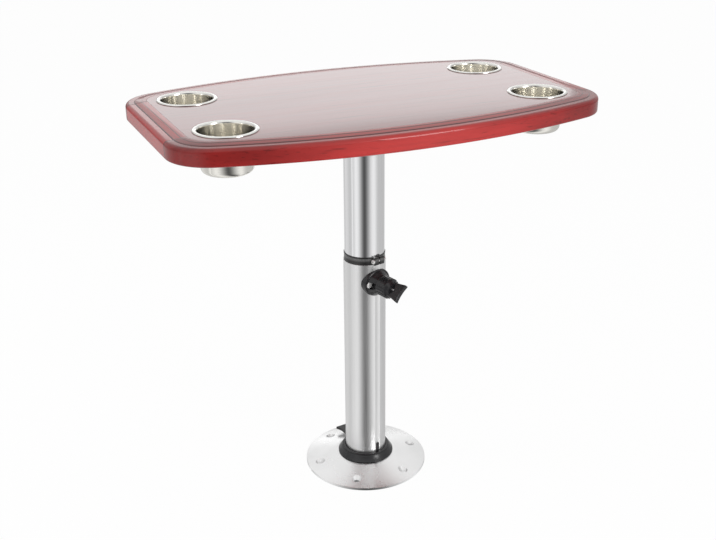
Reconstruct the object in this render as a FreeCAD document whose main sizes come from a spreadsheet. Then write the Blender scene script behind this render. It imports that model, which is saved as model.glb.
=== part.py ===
"""Telescoping pedestal table, millimetres, +Z up, origin at the centre of the base on the floor.

A round cast base holds a grooved lower tube in a keyed plastic bush with a twist lock ring. An
upper tube slides and turns inside the lower tube, a wing knob clamps it, and a split stop collar
rests on the lower tube's rim. The upper tube carries a boat-shaped wooden top with four cups.
"""
import FreeCAD, Part
import Sketcher
import os

doc = FreeCAD.newDocument("PedestalTable")
dims = doc.addObject("Spreadsheet::Sheet", "Dims")

DIMENSIONS = [
    # wooden top
    ("table_height", 561, "floor to the top surface"),
    ("top_thickness", 24, "panel and rails"),
    ("top_half_length", 295, "centre to the straight end"),
    ("top_half_width", 187, "centre to the crown of the long side"),
    ("side_bow", 50, "crown of the long side beyond its ends"),
    ("corner_radius", 60, "corner in plan"),
    ("rail_width", 28, "edging rails"),
    ("step_inset", 20.5, "rim edge to the raised field"),
    ("step_depth", 1.2, "drop from the field to the band"),
    ("quirk_inset", 7, "rim edge to the quirk beside the round"),
    ("quirk_depth", 0.8, "drop from the band to the round"),
    ("edge_round", 5.5, "radius of the upper rim"),
    ("underside_round", 2.5, "radius of the lower rim"),
    # cup holders
    ("cup_end_inset", 78, "cup centre from the straight end"),
    ("cup_side_inset", 104, "cup centre from the crown of the side"),
    ("cup_mouth_radius", 34, "inside of the cup at its mouth"),
    ("cup_foot_radius", 32.5, "outside of the cup at its floor"),
    ("cup_rim_width", 5, "rim outside the cup's wall"),
    ("cup_depth", 51.5, "top surface to the cup's underside"),
    ("cup_wall", 1, "sheet thickness"),
    ("cup_rim_thickness", 1.6, "height of the rim above the wood"),
    ("cup_corner", 7, "round between the cup's wall and floor"),
    ("cup_hole_clearance", 0.4, "radial play of the cup in the wood"),
    # mount under the top
    ("plate_radius", 80, "mount plate"),
    ("plate_thickness", 5, "mount plate"),
    ("hub_wall", 5.5, "wall of the hub at its mouth"),
    ("hub_flare", 4, "growth of the hub towards the plate"),
    ("hub_depth", 45, "length of tube held in the hub"),
    ("plate_screw_edge", 14, "wood screws from the plate's edge"),
    ("plate_screw_count", 6, "wood screws"),
    ("plate_screw_radius", 2.2, "wood screw shank"),
    ("plate_screw_length", 14, "wood screw in the panel"),
    ("plate_screw_head", 4.2, "wood screw head radius"),
    ("plate_screw_head_height", 2.6, "wood screw head height"),
    ("grub_radius", 3, "hub set screw"),
    ("grub_length", 5, "hub set screw"),
    ("grub_rise", 15, "set screws above the hub's mouth"),
    # tubes
    ("lower_radius", 30, "outside of the lower tube"),
    ("lower_wall", 1.4, "wall of the lower tube"),
    ("lower_top", 329, "rim of the lower tube"),
    ("sliding_play", 0.1, "radial play of the upper tube in the lower"),
    ("upper_wall", 1.5, "wall of the upper tube"),
    ("groove_width", 8.4, "keyway outside the lower tube"),
    ("groove_depth", 0.7, "keyway at its middle"),
    ("fixed_fit", 0.04, "radial gap of pieces fixed to each other"),
    ("running_gap", 0.3, "gap of pieces that move past each other"),
    # glide at the lower end of the upper tube
    ("plug_length", 20, "plug inside the upper tube"),
    ("glide_width", 10.5, "glide ring outside the plug's neck"),
    ("glide_height", 8, "glide ring"),
    ("washer_overlap", 5, "washer beyond the plug's neck"),
    ("washer_thickness", 2.5, "washer that keeps the glide ring"),
    ("glide_screw_radius", 3, "screw through the washer"),
    ("glide_screw_length", 18, "screw in the plug"),
    ("glide_screw_head", 5.2, "head radius"),
    ("glide_screw_head_height", 4, "head height"),
    ("glide_clearance", 6.6, "screw head above the tube's foot at the lowest height"),
    # stop collar
    ("collar_height", 11, "stop collar"),
    ("collar_wall", 0.7, "band of the stop collar"),
    ("lug_reach", 4.5, "lugs beyond the lower tube's outside"),
    ("lug_half_width", 8.5, "both lugs together"),
    ("collar_slit", 2, "gap between the lugs"),
    ("collar_screw_radius", 1.6, "screw across the lugs"),
    ("collar_screw_head", 3.1, "head radius"),
    ("collar_screw_head_height", 2.4, "head height"),
    # clamp knob
    ("knob_drop", 28, "knob axis below the lower tube's rim"),
    ("knob_angle", -77, "knob, keyway and collar lugs, degrees from +X"),
    ("boss_half_width", 22, "boss pad across the tube"),
    ("boss_half_height", 20, "boss pad along the tube"),
    ("boss_pad_rise", 1.4, "outer face of the pad beyond the tube"),
    ("boss_cone_radius", 18, "foot of the boss cone"),
    ("boss_tip_radius", 8.6, "tip of the boss cone"),
    ("boss_cone_length", 14.4, "boss cone"),
    ("boss_screw_offset", 15.3, "boss screws beside the knob axis"),
    ("boss_screw_radius", 2.1, "shank"),
    ("boss_screw_head", 4, "head radius"),
    ("boss_screw_head_height", 2.4, "head height"),
    ("boss_screw_sink", 1.2, "seat of the heads below the pad's face"),
    ("insert_radius", 6.4, "threaded insert"),
    ("insert_length", 9.2, "threaded insert"),
    ("insert_inset", 4, "threaded insert behind the boss tip"),
    ("stud_radius", 4, "clamp stud"),
    ("stud_hold", 8, "stud moulded into the wing"),
    ("pad_radius", 5, "pressure pad"),
    ("pad_thickness", 2, "pressure pad"),
    ("pad_stem_radius", 2, "stem of the pad in the stud"),
    ("pad_stem_length", 4, "stem of the pad in the stud"),
    ("pad_travel", 1.25, "way of the pad in one turn of the knob"),
    ("grip_radius", 14.7, "skirt of the wing knob"),
    ("grip_overlap", 3, "skirt over the boss tip"),
    ("grip_skirt_length", 18, "length of the skirt"),
    ("grip_recess_depth", 4.5, "recess that the boss tip enters"),
    ("grip_recess_radius", 12, "recess that the boss tip enters"),
    ("wing_length", 22, "wing beyond the skirt"),
    ("wing_half_width", 13.7, "wing"),
    ("wing_thickness", 9, "wing"),
    ("wing_hollow_radius", 52, "curve of the wing's outer edge"),
    ("wing_angle", -43, "wing turned from upright, degrees"),
    # base
    ("base_radius", 90, "base casting"),
    ("base_rim", 3.6, "height of the base's rim"),
    ("base_rim_round", 1.2, "round on the base's rim"),
    ("base_hub_width", 9, "flat hub round the bush"),
    ("base_hub_height", 14, "top of the hub"),
    ("base_floor", 3, "floor of the socket"),
    ("base_ledge", 12, "floor under the tube's foot, before the drain hole"),
    ("relief_margin", 3, "foot of the hub inside the hollow"),
    ("relief_width", 16, "hollow under the base"),
    ("relief_depth", 5, "hollow under the base"),
    ("bolt_edge", 16, "floor bolts from the base's edge"),
    ("bolt_count", 6, "floor bolts"),
    ("bolt_hole_radius", 3.5, "floor bolts"),
    ("bolt_sink", 3, "depth of the countersink"),
    ("bolt_phase", -5, "first floor bolt, degrees from +X"),
    ("bush_wall", 3.9, "plastic bush in the base"),
    ("bush_rise", 11.5, "bush above the hub"),
    ("bush_lip", 1.2, "lip over the lock ring"),
    ("bush_lip_height", 1.5, "lip over the lock ring"),
    ("key_half_width", 2, "key in the keyway"),
    ("key_rise", 13.5, "key above the bush"),
    ("key_thickness", 0.6, "key outside the socket"),
    ("bush_screw_radius", 1.3, "screws up into the bush"),
    ("bush_screw_length", 8, "thread in the bush"),
    ("bush_screw_head", 2.5, "head radius"),
    ("bush_screw_head_height", 1.6, "head height"),
    ("ring_width", 7, "lock ring outside the bush"),
    ("ring_edge", 1.2, "upright edge of the lock ring"),
    ("lever_angle", 97, "lock lever, degrees from +X"),
    ("lever_length", 31, "lever beyond the ring"),
    ("lever_half_width", 6, "lever at the ring"),
    ("lever_end_half_width", 10, "lever at its end"),
    ("lever_end_length", 8, "flared end of the lever"),
    ("lever_thickness", 4, "lever"),
    ("foot_flange", 3, "plastic foot under the lower tube"),
    ("foot_length", 16, "plastic foot inside the lower tube"),
    ("foot_wall", 4, "plastic foot"),
]

for row, (name, value, note) in enumerate(DIMENSIONS, 1):
    dims.set("A%d" % row, note)
    dims.set("B%d" % row, str(value))
    dims.setAlias("B%d" % row, name)
doc.recompute()

# Lengths that several pieces share, written from the driving dimensions.
UNDERSIDE = "(Dims.table_height - Dims.top_thickness)"
SIDE_RADIUS = "((Dims.top_half_length ^ 2 + Dims.side_bow ^ 2) / (2 * Dims.side_bow))"
SIDE_CENTRE = "(%s - Dims.top_half_width)" % SIDE_RADIUS
STRAIGHT_END = ("(sqrt((%s - Dims.corner_radius) ^ 2 - (Dims.top_half_length - Dims.corner_radius) ^ 2)"
                " - %s)" % (SIDE_RADIUS, SIDE_CENTRE))
CUP_ALONG = "(Dims.top_half_length - Dims.cup_end_inset)"
CUP_ACROSS = "(Dims.top_half_width - Dims.cup_side_inset)"
CUP_OUTSIDE = "(Dims.cup_mouth_radius + Dims.cup_wall)"

LOWER_BORE = "(Dims.lower_radius - Dims.lower_wall)"
UPPER_RADIUS = "(%s - Dims.sliding_play)" % LOWER_BORE
UPPER_BORE = "(%s - Dims.upper_wall)" % UPPER_RADIUS
PLATE_FACE = "(%s - Dims.plate_thickness)" % UNDERSIDE
HUB_MOUTH = "(%s - Dims.hub_depth)" % PLATE_FACE
HUB_SOCKET = "(%s + Dims.fixed_fit)" % UPPER_RADIUS
HUB_RADIUS = "(%s + Dims.hub_wall)" % HUB_SOCKET
HUB_FOOT = "(%s + Dims.hub_flare)" % HUB_RADIUS
PLATE_SCREWS = "(Dims.plate_radius - Dims.plate_screw_edge)"

SOCKET_RADIUS = "(Dims.lower_radius + Dims.sliding_play)"
BUSH_RADIUS = "(%s + Dims.bush_wall)" % SOCKET_RADIUS
BUSH_TOP = "(Dims.base_hub_height + Dims.bush_rise)"
LIP_RADIUS = "(%s + Dims.bush_lip)" % BUSH_RADIUS
LIP_BOTTOM = "(%s - Dims.bush_lip_height)" % BUSH_TOP
RING_RADIUS = "(%s + Dims.ring_width)" % BUSH_RADIUS
RING_BOTTOM = "(Dims.base_hub_height + Dims.running_gap)"
RING_TOP = "(%s - Dims.running_gap)" % LIP_BOTTOM
BASE_HUB_RADIUS = "(%s + Dims.base_hub_width)" % BUSH_RADIUS
DRAIN_RADIUS = "(%s - Dims.base_ledge)" % SOCKET_RADIUS
BOLT_CIRCLE = "(Dims.base_radius - Dims.bolt_edge)"

FOOT_BOTTOM = "(Dims.base_floor + Dims.running_gap)"
TUBE_BOTTOM = "(%s + Dims.foot_flange)" % FOOT_BOTTOM
FOOT_TOP = "(%s + Dims.foot_length)" % TUBE_BOTTOM
GLIDE_HEAD = "(%s + Dims.glide_clearance)" % FOOT_TOP
WASHER_BOTTOM = "(%s + Dims.glide_screw_head_height)" % GLIDE_HEAD
WASHER_TOP = "(%s + Dims.washer_thickness)" % WASHER_BOTTOM
GLIDE_BOTTOM = "(%s + Dims.running_gap)" % WASHER_TOP
GLIDE_TOP = "(%s + Dims.glide_height)" % GLIDE_BOTTOM
UPPER_BOTTOM = "(%s + Dims.running_gap)" % GLIDE_TOP
NECK_RADIUS = "(%s - Dims.glide_width)" % UPPER_RADIUS
COLLAR_BOTTOM = "(Dims.lower_top + Dims.running_gap)"

GROOVE_CHORD = "(sqrt(Dims.lower_radius ^ 2 - Dims.groove_width ^ 2 / 4))"
GROOVE_FLOOR = "(Dims.lower_radius - Dims.groove_depth)"
GROOVE_SAGITTA = "(%s - %s)" % (GROOVE_CHORD, GROOVE_FLOOR)
GROOVE_RADIUS = "((Dims.groove_width ^ 2 / 4 + %s ^ 2) / (2 * %s))" % (GROOVE_SAGITTA, GROOVE_SAGITTA)

# Distances of the clamp's pieces from the tube's axis.
KNOB_HEIGHT = "(Dims.lower_top - Dims.knob_drop)"
BOSS_ROOT = "(Dims.lower_radius / 2)"
BOSS_FACE = "(Dims.lower_radius + Dims.boss_pad_rise)"
BOSS_SEAT = "(%s - Dims.boss_screw_sink)" % BOSS_FACE
BOSS_TIP = "(%s + Dims.boss_cone_length)" % BOSS_FACE
INSERT_OUTER = "(%s - Dims.insert_inset)" % BOSS_TIP
INSERT_INNER = "(%s - Dims.insert_length)" % INSERT_OUTER
PAD_INNER = "(%s + Dims.running_gap)" % UPPER_RADIUS
PAD_OUTER = "(%s + Dims.pad_thickness)" % PAD_INNER
PAD_WAY = "(Dims.pad_radius + 2 * Dims.running_gap)"
STUD_INNER = "(%s + Dims.pad_travel + Dims.running_gap)" % PAD_OUTER
GRIP_START = "(%s - Dims.grip_overlap)" % BOSS_TIP
GRIP_END = "(%s + Dims.grip_skirt_length)" % GRIP_START
STUD_OUTER = "(%s + Dims.stud_hold)" % GRIP_END
WING_END = "(%s + Dims.wing_length)" % GRIP_END

X_AXIS, Y_AXIS, Z_AXIS = FreeCAD.Vector(1, 0, 0), FreeCAD.Vector(0, 1, 0), FreeCAD.Vector(0, 0, 1)
nodes = []


def size_of(expression):
    """The number that an expression of the sheet gives now."""
    return float(doc.Dims.evalExpression(expression.replace("Dims.", "")))


def node(item, label, turn=None):
    """Name a finished sub-part, and turn it about the upright axis by an angle of the sheet."""
    if turn:
        item.Placement = FreeCAD.Placement(FreeCAD.Vector(), FreeCAD.Rotation(Z_AXIS, size_of(turn)))
        item.setExpression("Placement.Rotation.Angle", turn)
    item.Label = label
    nodes.append(item)
    return item


def place(item, x="0", y="0", z="0", along=Z_AXIS):
    """Put a primitive at a place of the sheet, with its own axis along a direction."""
    item.Placement = FreeCAD.Placement(FreeCAD.Vector(), FreeCAD.Rotation(Z_AXIS, along))
    for letter, expression in (("x", x), ("y", y), ("z", z)):
        item.setExpression("Placement.Base." + letter, expression)
    return item


def rod(radius, length, x="0", y="0", z="0", along=Z_AXIS):
    item = doc.addObject("Part::Cylinder", "Rod")
    item.setExpression("Radius", radius)
    item.setExpression("Height", length)
    return place(item, x, y, z, along)


def cone(foot, tip, length, x="0", y="0", z="0", along=Z_AXIS):
    item = doc.addObject("Part::Cone", "Cone")
    item.setExpression("Radius1", foot)
    item.setExpression("Radius2", tip)
    item.setExpression("Height", length)
    return place(item, x, y, z, along)


def block(length, width, height, x="0", y="0", z="0"):
    """A box centred on x and y that stands on z."""
    item = doc.addObject("Part::Box", "Block")
    item.setExpression("Length", length)
    item.setExpression("Width", width)
    item.setExpression("Height", height)
    return place(item, "%s - (%s) / 2" % (x, length), "%s - (%s) / 2" % (y, width), z)


def joined(*pieces):
    item = doc.addObject("Part::MultiFuse", "Joined")
    item.Shapes = list(pieces)
    return item


def cut(body, *tools):
    item = doc.addObject("Part::Cut", "Cut")
    item.Base = body
    item.Tool = joined(*tools) if len(tools) > 1 else tools[0]
    return item


def group(*pieces):
    item = doc.addObject("Part::Compound", "Group")
    item.Links = list(pieces)
    return item


def plane(body, role):
    return next(item for item in body.Origin.OriginFeatures if item.Role == role)


def sketch_on(body, role, lift=None):
    """A sketch on one of the body's own origin planes, lifted off it by a value of the sheet."""
    sketch = body.newObject("Sketcher::SketchObject", "Sketch")
    sketch.AttachmentSupport = [(plane(body, role), "")]
    sketch.MapMode = "FlatFace"
    if lift:
        sketch.setExpression("AttachmentOffset.Base.z", lift)
    return sketch


def fix(sketch, kind, expression, *where):
    """A driving constraint whose value is an expression of the sheet."""
    index = sketch.addConstraint(Sketcher.Constraint(kind, *where, size_of(expression)))
    sketch.setExpression("Constraints[%d]" % index, expression)


def outline(sketch, corners):
    """A closed outline of straight lines; each corner is held by its distances from the origin."""
    points = [FreeCAD.Vector(size_of(x), size_of(y), 0) for x, y in corners]
    count = len(points)
    for index in range(count):
        sketch.addGeometry(Part.LineSegment(points[index], points[(index + 1) % count]), False)
    for index in range(count):
        sketch.addConstraint(Sketcher.Constraint("Coincident", index, 2, (index + 1) % count, 1))
    for index, (x, y) in enumerate(corners):
        if x == "0":
            sketch.addConstraint(Sketcher.Constraint("PointOnObject", index, 1, -2))
        else:
            fix(sketch, "DistanceX", x, -1, 1, index, 1)
        if y == "0":
            sketch.addConstraint(Sketcher.Constraint("PointOnObject", index, 1, -1))
        else:
            fix(sketch, "DistanceY", y, -1, 1, index, 1)
    return sketch


def circle(sketch, radius, x="0", y="0"):
    centre = FreeCAD.Vector(size_of(x), size_of(y), 0)
    index = sketch.addGeometry(Part.Circle(centre, Z_AXIS, size_of(radius)), False)
    fix(sketch, "Radius", radius, index)
    if x == "0":
        sketch.addConstraint(Sketcher.Constraint("PointOnObject", index, 3, -2))
    else:
        fix(sketch, "DistanceX", x, -1, 1, index, 3)
    if y == "0":
        sketch.addConstraint(Sketcher.Constraint("PointOnObject", index, 3, -1))
    else:
        fix(sketch, "DistanceY", y, -1, 1, index, 3)
    return sketch


def turned(corners):
    """A body turned about the upright axis from a profile of radius and height pairs."""
    body = doc.addObject("PartDesign::Body", "Body")
    sketch = outline(sketch_on(body, "XZ_Plane"), corners)
    turning = body.newObject("PartDesign::Revolution", "Revolution")
    turning.Profile = sketch
    turning.ReferenceAxis = (sketch, ["V_Axis"])
    turning.Angle = 360
    doc.recompute()
    return body


def pad(body, sketch, length, reverse=False):
    feature = body.newObject("PartDesign::Pad", "Pad")
    feature.Profile = sketch
    feature.setExpression("Length", length)
    feature.Reversed = reverse
    doc.recompute()
    return feature


def pocket(body, sketch, length, reverse=False):
    """Cut a sketch into the body, and stop if nothing was cut."""
    before = body.Shape.Volume
    feature = body.newObject("PartDesign::Pocket", "Pocket")
    feature.Profile = sketch
    feature.setExpression("Length", length)
    feature.Reversed = reverse
    doc.recompute()
    if body.Shape.Volume > before - 1e-6:
        raise RuntimeError("a pocket of %s cuts nothing" % body.Name)
    return feature


def rounded(body, radius, chosen):
    """Fillet the edges that the test chooses on the body's present tip."""
    tip = body.Tip
    names = ["Edge%d" % number for number, edge in enumerate(tip.Shape.Edges, 1) if chosen(edge)]
    fillet = body.newObject("PartDesign::Fillet", "Fillet")
    fillet.Base = (tip, names)
    fillet.setExpression("Radius", radius)
    doc.recompute()
    return fillet


def ring_edge(edge, radius, height):
    """True for a full circle about the upright axis with this radius and height."""
    curve = edge.Curve
    return (curve.TypeId == "Part::GeomCircle" and abs(curve.Radius - size_of(radius)) < 1e-4
            and abs(curve.Center.z - size_of(height)) < 1e-4)


# ---------------------------------------------------------------- base

def make_base_flange():
    """Cast disc with a shallow cone, a socket for the bush and countersunk bolt holes."""
    body = turned([
        (DRAIN_RADIUS, "0"),
        (BASE_HUB_RADIUS + " + Dims.relief_margin", "0"),
        (BASE_HUB_RADIUS + " + Dims.relief_margin", "Dims.relief_depth"),
        (BASE_HUB_RADIUS + " + Dims.relief_margin + Dims.relief_width", "Dims.relief_depth"),
        (BASE_HUB_RADIUS + " + Dims.relief_margin + Dims.relief_width", "0"),
        ("Dims.base_radius", "0"),
        ("Dims.base_radius", "Dims.base_rim"),
        (BASE_HUB_RADIUS, "Dims.base_hub_height"),
        (BUSH_RADIUS + " + Dims.fixed_fit", "Dims.base_hub_height"),
        (BUSH_RADIUS + " + Dims.fixed_fit", "Dims.base_floor"),
        (DRAIN_RADIUS, "Dims.base_floor"),
    ])
    rounded(body, "Dims.base_rim_round", lambda edge: ring_edge(edge, "Dims.base_radius", "Dims.base_rim"))
    slope = "((Dims.base_hub_height - Dims.base_rim) / (Dims.base_radius - %s))" % BASE_HUB_RADIUS
    face = "(Dims.base_rim + Dims.bolt_edge * %s)" % slope
    mouth = "(Dims.bolt_hole_radius + 2 * Dims.bolt_sink)"
    ways = []
    for index in range(int(size_of("Dims.bolt_count"))):
        angle = "(Dims.bolt_phase + %d * 360 / Dims.bolt_count)" % index
        x, y = "%s * cos(%s)" % (BOLT_CIRCLE, angle), "%s * sin(%s)" % (BOLT_CIRCLE, angle)
        ways.append(rod("Dims.bolt_hole_radius", "Dims.base_hub_height", x, y))
        ways.append(cone("Dims.bolt_hole_radius", mouth, "2 * Dims.bolt_sink", x, y,
                         "%s - Dims.bolt_sink" % face))
    for angle in range(0, 360, 120):
        ways.append(bush_screw_way("(Dims.knob_angle + %d)" % angle,
                                   "Dims.bush_screw_radius + Dims.fixed_fit",
                                   "Dims.bush_screw_head + Dims.fixed_fit"))
    node(cut(body, *ways), "base_flange")


def bush_screw_place(angle):
    radius = "(%s + Dims.bush_wall / 2)" % SOCKET_RADIUS
    return "%s * cos(%s)" % (radius, angle), "%s * sin(%s)" % (radius, angle)


def bush_screw_way(angle, shank, head):
    """Shank and head of one screw that holds the bush from below, or the way for it."""
    x, y = bush_screw_place(angle)
    thread = rod(shank, "Dims.base_floor + Dims.bush_screw_length", x, y, "0")
    cap = rod(head, "Dims.bush_screw_head_height", x, y, "0")
    return joined(thread, cap)


def make_bush_screws():
    screws = [bush_screw_way(angle, "Dims.bush_screw_radius", "Dims.bush_screw_head")
              for angle in range(0, 360, 120)]
    node(group(*screws), "bush_screws", "Dims.knob_angle")


def make_base_bush():
    """Plastic bush that the lower tube drops into, with a key for the tube's keyway."""
    body = turned([
        (SOCKET_RADIUS, "Dims.base_floor"),
        (BUSH_RADIUS, "Dims.base_floor"),
        (BUSH_RADIUS, LIP_BOTTOM),
        (LIP_RADIUS, LIP_BOTTOM),
        (BUSH_RADIUS, BUSH_TOP),
        (SOCKET_RADIUS, BUSH_TOP),
    ])
    key_inner = "(%s + Dims.running_gap)" % GROOVE_FLOOR
    key_outer = "(%s + Dims.key_thickness)" % SOCKET_RADIUS
    key = block("%s - %s" % (key_outer, key_inner), "2 * Dims.key_half_width",
                "Dims.bush_rise + Dims.key_rise", "(%s + %s) / 2" % (key_outer, key_inner), "0",
                "Dims.base_hub_height")
    ways = []
    for angle in range(0, 360, 120):
        x, y = bush_screw_place(angle)
        ways.append(rod("Dims.bush_screw_radius + Dims.fixed_fit", "Dims.bush_screw_length", x, y,
                        "Dims.base_floor"))
    node(joined(cut(body, *ways), key), "base_bush", "Dims.knob_angle")


def make_lock_ring():
    """Plastic ring that is twisted by its lever to grip or free the lower tube."""
    inner = "(%s + Dims.running_gap)" % BUSH_RADIUS
    body = turned([
        (inner, RING_BOTTOM),
        (RING_RADIUS, RING_BOTTOM),
        (RING_RADIUS, "%s + Dims.ring_edge" % RING_BOTTOM),
        ("%s + Dims.running_gap" % LIP_RADIUS, RING_TOP),
        (inner, RING_TOP),
    ])
    root = "(%s - Dims.ring_width / 2)" % RING_RADIUS
    end = "(%s + Dims.lever_length)" % RING_RADIUS
    flare = "(%s - Dims.lever_end_length)" % end
    sketch = sketch_on(body, "XY_Plane", RING_BOTTOM)
    outline(sketch, [
        (root, "-Dims.lever_half_width"),
        (flare, "-Dims.lever_half_width"),
        (end, "-Dims.lever_end_half_width"),
        (end, "Dims.lever_end_half_width"),
        (flare, "Dims.lever_half_width"),
        (root, "Dims.lever_half_width"),
    ])
    pad(body, sketch, "Dims.lever_thickness")
    node(body, "lock_ring", "Dims.lever_angle")


# ---------------------------------------------------------------- lower column

def make_tube_foot():
    """Plastic plug that closes the lower tube and stands in the socket."""
    spigot = "(%s - Dims.fixed_fit)" % LOWER_BORE
    floor = "(%s + Dims.foot_wall)" % FOOT_BOTTOM
    node(turned([
        ("0", FOOT_BOTTOM),
        ("%s + Dims.lower_wall / 2" % LOWER_BORE, FOOT_BOTTOM),
        ("%s + Dims.lower_wall / 2" % LOWER_BORE, TUBE_BOTTOM),
        (spigot, TUBE_BOTTOM),
        (spigot, FOOT_TOP),
        ("%s - Dims.foot_wall" % spigot, FOOT_TOP),
        ("%s - Dims.foot_wall" % spigot, floor),
        ("0", floor),
    ]), "tube_foot")


def make_lower_tube():
    """Extruded tube with a keyway down its outside and the holes for the clamp."""
    body = doc.addObject("PartDesign::Body", "Body")
    ring = sketch_on(body, "XY_Plane", TUBE_BOTTOM)
    circle(ring, "Dims.lower_radius")
    circle(ring, LOWER_BORE)
    pad(body, ring, "Dims.lower_top - %s" % TUBE_BOTTOM)
    keyway = sketch_on(body, "XY_Plane", "Dims.lower_top")
    circle(keyway, GROOVE_RADIUS, "%s + %s" % (GROOVE_FLOOR, GROOVE_RADIUS))
    pocket(body, keyway, "Dims.lower_top")
    holes = sketch_on(body, "YZ_Plane")
    circle(holes, PAD_WAY, "0", KNOB_HEIGHT)
    screw_hole = "Dims.boss_screw_radius + Dims.fixed_fit"
    circle(holes, screw_hole, "Dims.boss_screw_offset", KNOB_HEIGHT)
    circle(holes, screw_hole, "-Dims.boss_screw_offset", KNOB_HEIGHT)
    pocket(body, holes, "Dims.lower_radius + 1", reverse=True)
    node(body, "lower_tube", "Dims.knob_angle")


def knob_rod(radius, start, end, y="0"):
    """A rod along the knob's axis, from one distance to another from the tube's axis."""
    return rod(radius, "%s - %s" % (end, start), start, y, KNOB_HEIGHT, X_AXIS)


def make_knob_boss():
    """Moulded boss: a saddle on the tube that rises in a cone to the threaded insert."""
    oval = doc.addObject("Part::Ellipse", "PadOutline")
    oval.setExpression("MajorRadius", "Dims.boss_half_width")
    oval.setExpression("MinorRadius", "Dims.boss_half_height")
    saddle = doc.addObject("Part::Extrusion", "Saddle")
    saddle.Base = oval
    saddle.DirMode = "Custom"
    saddle.Dir = Z_AXIS
    saddle.setExpression("LengthFwd", "%s - %s" % (BOSS_FACE, BOSS_ROOT))
    saddle.Solid = True
    saddle.Placement = FreeCAD.Placement(
        FreeCAD.Vector(), FreeCAD.Rotation(Y_AXIS, Z_AXIS, X_AXIS, "ZXY"))
    saddle.setExpression("Placement.Base.x", BOSS_ROOT)
    saddle.setExpression("Placement.Base.z", KNOB_HEIGHT)
    rise = cone("Dims.boss_cone_radius", "Dims.boss_tip_radius", "Dims.boss_cone_length", BOSS_FACE,
                "0", KNOB_HEIGHT, X_AXIS)
    ways = [
        rod("Dims.lower_radius + Dims.fixed_fit", "Dims.lower_top"),
        knob_rod(PAD_WAY, BOSS_ROOT, INSERT_INNER),
        knob_rod("Dims.insert_radius + Dims.fixed_fit", INSERT_INNER, INSERT_OUTER),
        knob_rod("Dims.stud_radius + Dims.running_gap", INSERT_OUTER, BOSS_TIP),
    ]
    for side in ("", "-"):
        offset = side + "Dims.boss_screw_offset"
        ways.append(knob_rod("Dims.boss_screw_radius + Dims.fixed_fit", BOSS_ROOT, BOSS_FACE, offset))
        ways.append(knob_rod("Dims.boss_screw_head + 2 * Dims.running_gap", BOSS_SEAT, BOSS_TIP, offset))
    node(cut(joined(saddle, rise), *ways), "knob_boss", "Dims.knob_angle")


def make_boss_screws():
    """Two screws beside the knob axis; their tips end inside the tube's wall."""
    tip = ("(sqrt(%s ^ 2 - (Dims.boss_screw_offset - Dims.boss_screw_radius) ^ 2) + Dims.running_gap)"
           % LOWER_BORE)
    head_end = "(%s + Dims.boss_screw_head_height)" % BOSS_SEAT
    screws = []
    for side in ("", "-"):
        offset = side + "Dims.boss_screw_offset"
        shank = knob_rod("Dims.boss_screw_radius", tip, BOSS_SEAT, offset)
        head = knob_rod("Dims.boss_screw_head", BOSS_SEAT, head_end, offset)
        screws.append(joined(shank, head))
    node(group(*screws), "boss_screws", "Dims.knob_angle")


def make_threaded_insert():
    sleeve = knob_rod("Dims.insert_radius", INSERT_INNER, INSERT_OUTER)
    thread = knob_rod("Dims.stud_radius + Dims.fixed_fit", INSERT_INNER, INSERT_OUTER)
    node(cut(sleeve, thread), "threaded_insert", "Dims.knob_angle")


# ---------------------------------------------------------------- clamp

def make_clamp_pad():
    """Soft disc that presses on the upper tube; its stem slides in the end of the stud."""
    disc = knob_rod("Dims.pad_radius", PAD_INNER, PAD_OUTER)
    stem = knob_rod("Dims.pad_stem_radius", PAD_INNER, "(%s + Dims.pad_stem_length)" % PAD_OUTER)
    node(joined(disc, stem), "clamp_pad", "Dims.knob_angle")


def make_clamp_stud():
    """Threaded stud moulded into the wing knob."""
    stud = knob_rod("Dims.stud_radius", STUD_INNER, STUD_OUTER)
    socket = knob_rod("Dims.pad_stem_radius + Dims.sliding_play", STUD_INNER,
                      "(%s + Dims.pad_stem_length)" % STUD_INNER)
    node(cut(stud, socket), "clamp_stud", "Dims.knob_angle")


def make_wing_knob():
    """Wing knob: a round skirt that runs out into a flat tail with a hollow outer edge."""
    skirt = knob_rod("Dims.grip_radius", GRIP_START, GRIP_END)
    shoulder = cone("Dims.grip_radius", "Dims.wing_half_width - Dims.wing_thickness / 3",
                    "Dims.wing_thickness / 2", GRIP_END, "0", KNOB_HEIGHT, X_AXIS)
    tail = block("%s - %s" % (WING_END, GRIP_END), "Dims.wing_thickness", "2 * Dims.wing_half_width",
                 "(%s + %s) / 2" % (WING_END, GRIP_END), "0", "-Dims.wing_half_width")
    hollow_chord = "sqrt(Dims.wing_hollow_radius ^ 2 - Dims.wing_half_width ^ 2)"
    hollow = rod("Dims.wing_hollow_radius", "2 * Dims.wing_thickness",
                 "%s + %s" % (WING_END, hollow_chord), "-Dims.wing_thickness", "0", Y_AXIS)
    wing = cut(tail, hollow)
    wing.Placement = FreeCAD.Placement(
        FreeCAD.Vector(), FreeCAD.Rotation(X_AXIS, size_of("Dims.wing_angle")))
    wing.setExpression("Placement.Rotation.Angle", "Dims.wing_angle")
    wing.setExpression("Placement.Base.z", KNOB_HEIGHT)
    recess = knob_rod("Dims.grip_recess_radius", GRIP_START, "(%s + Dims.grip_recess_depth)" % GRIP_START)
    stud_way = knob_rod("Dims.stud_radius + Dims.fixed_fit", GRIP_START, STUD_OUTER)
    node(cut(joined(skirt, shoulder, wing), recess, stud_way), "wing_knob", "Dims.knob_angle")


# ---------------------------------------------------------------- glide and upper tube

def make_glide_ring():
    node(turned([
        ("%s + Dims.sliding_play" % NECK_RADIUS, GLIDE_BOTTOM),
        (UPPER_RADIUS, GLIDE_BOTTOM),
        (UPPER_RADIUS, GLIDE_TOP),
        ("%s + Dims.sliding_play" % NECK_RADIUS, GLIDE_TOP),
    ]), "glide_ring")


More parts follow.
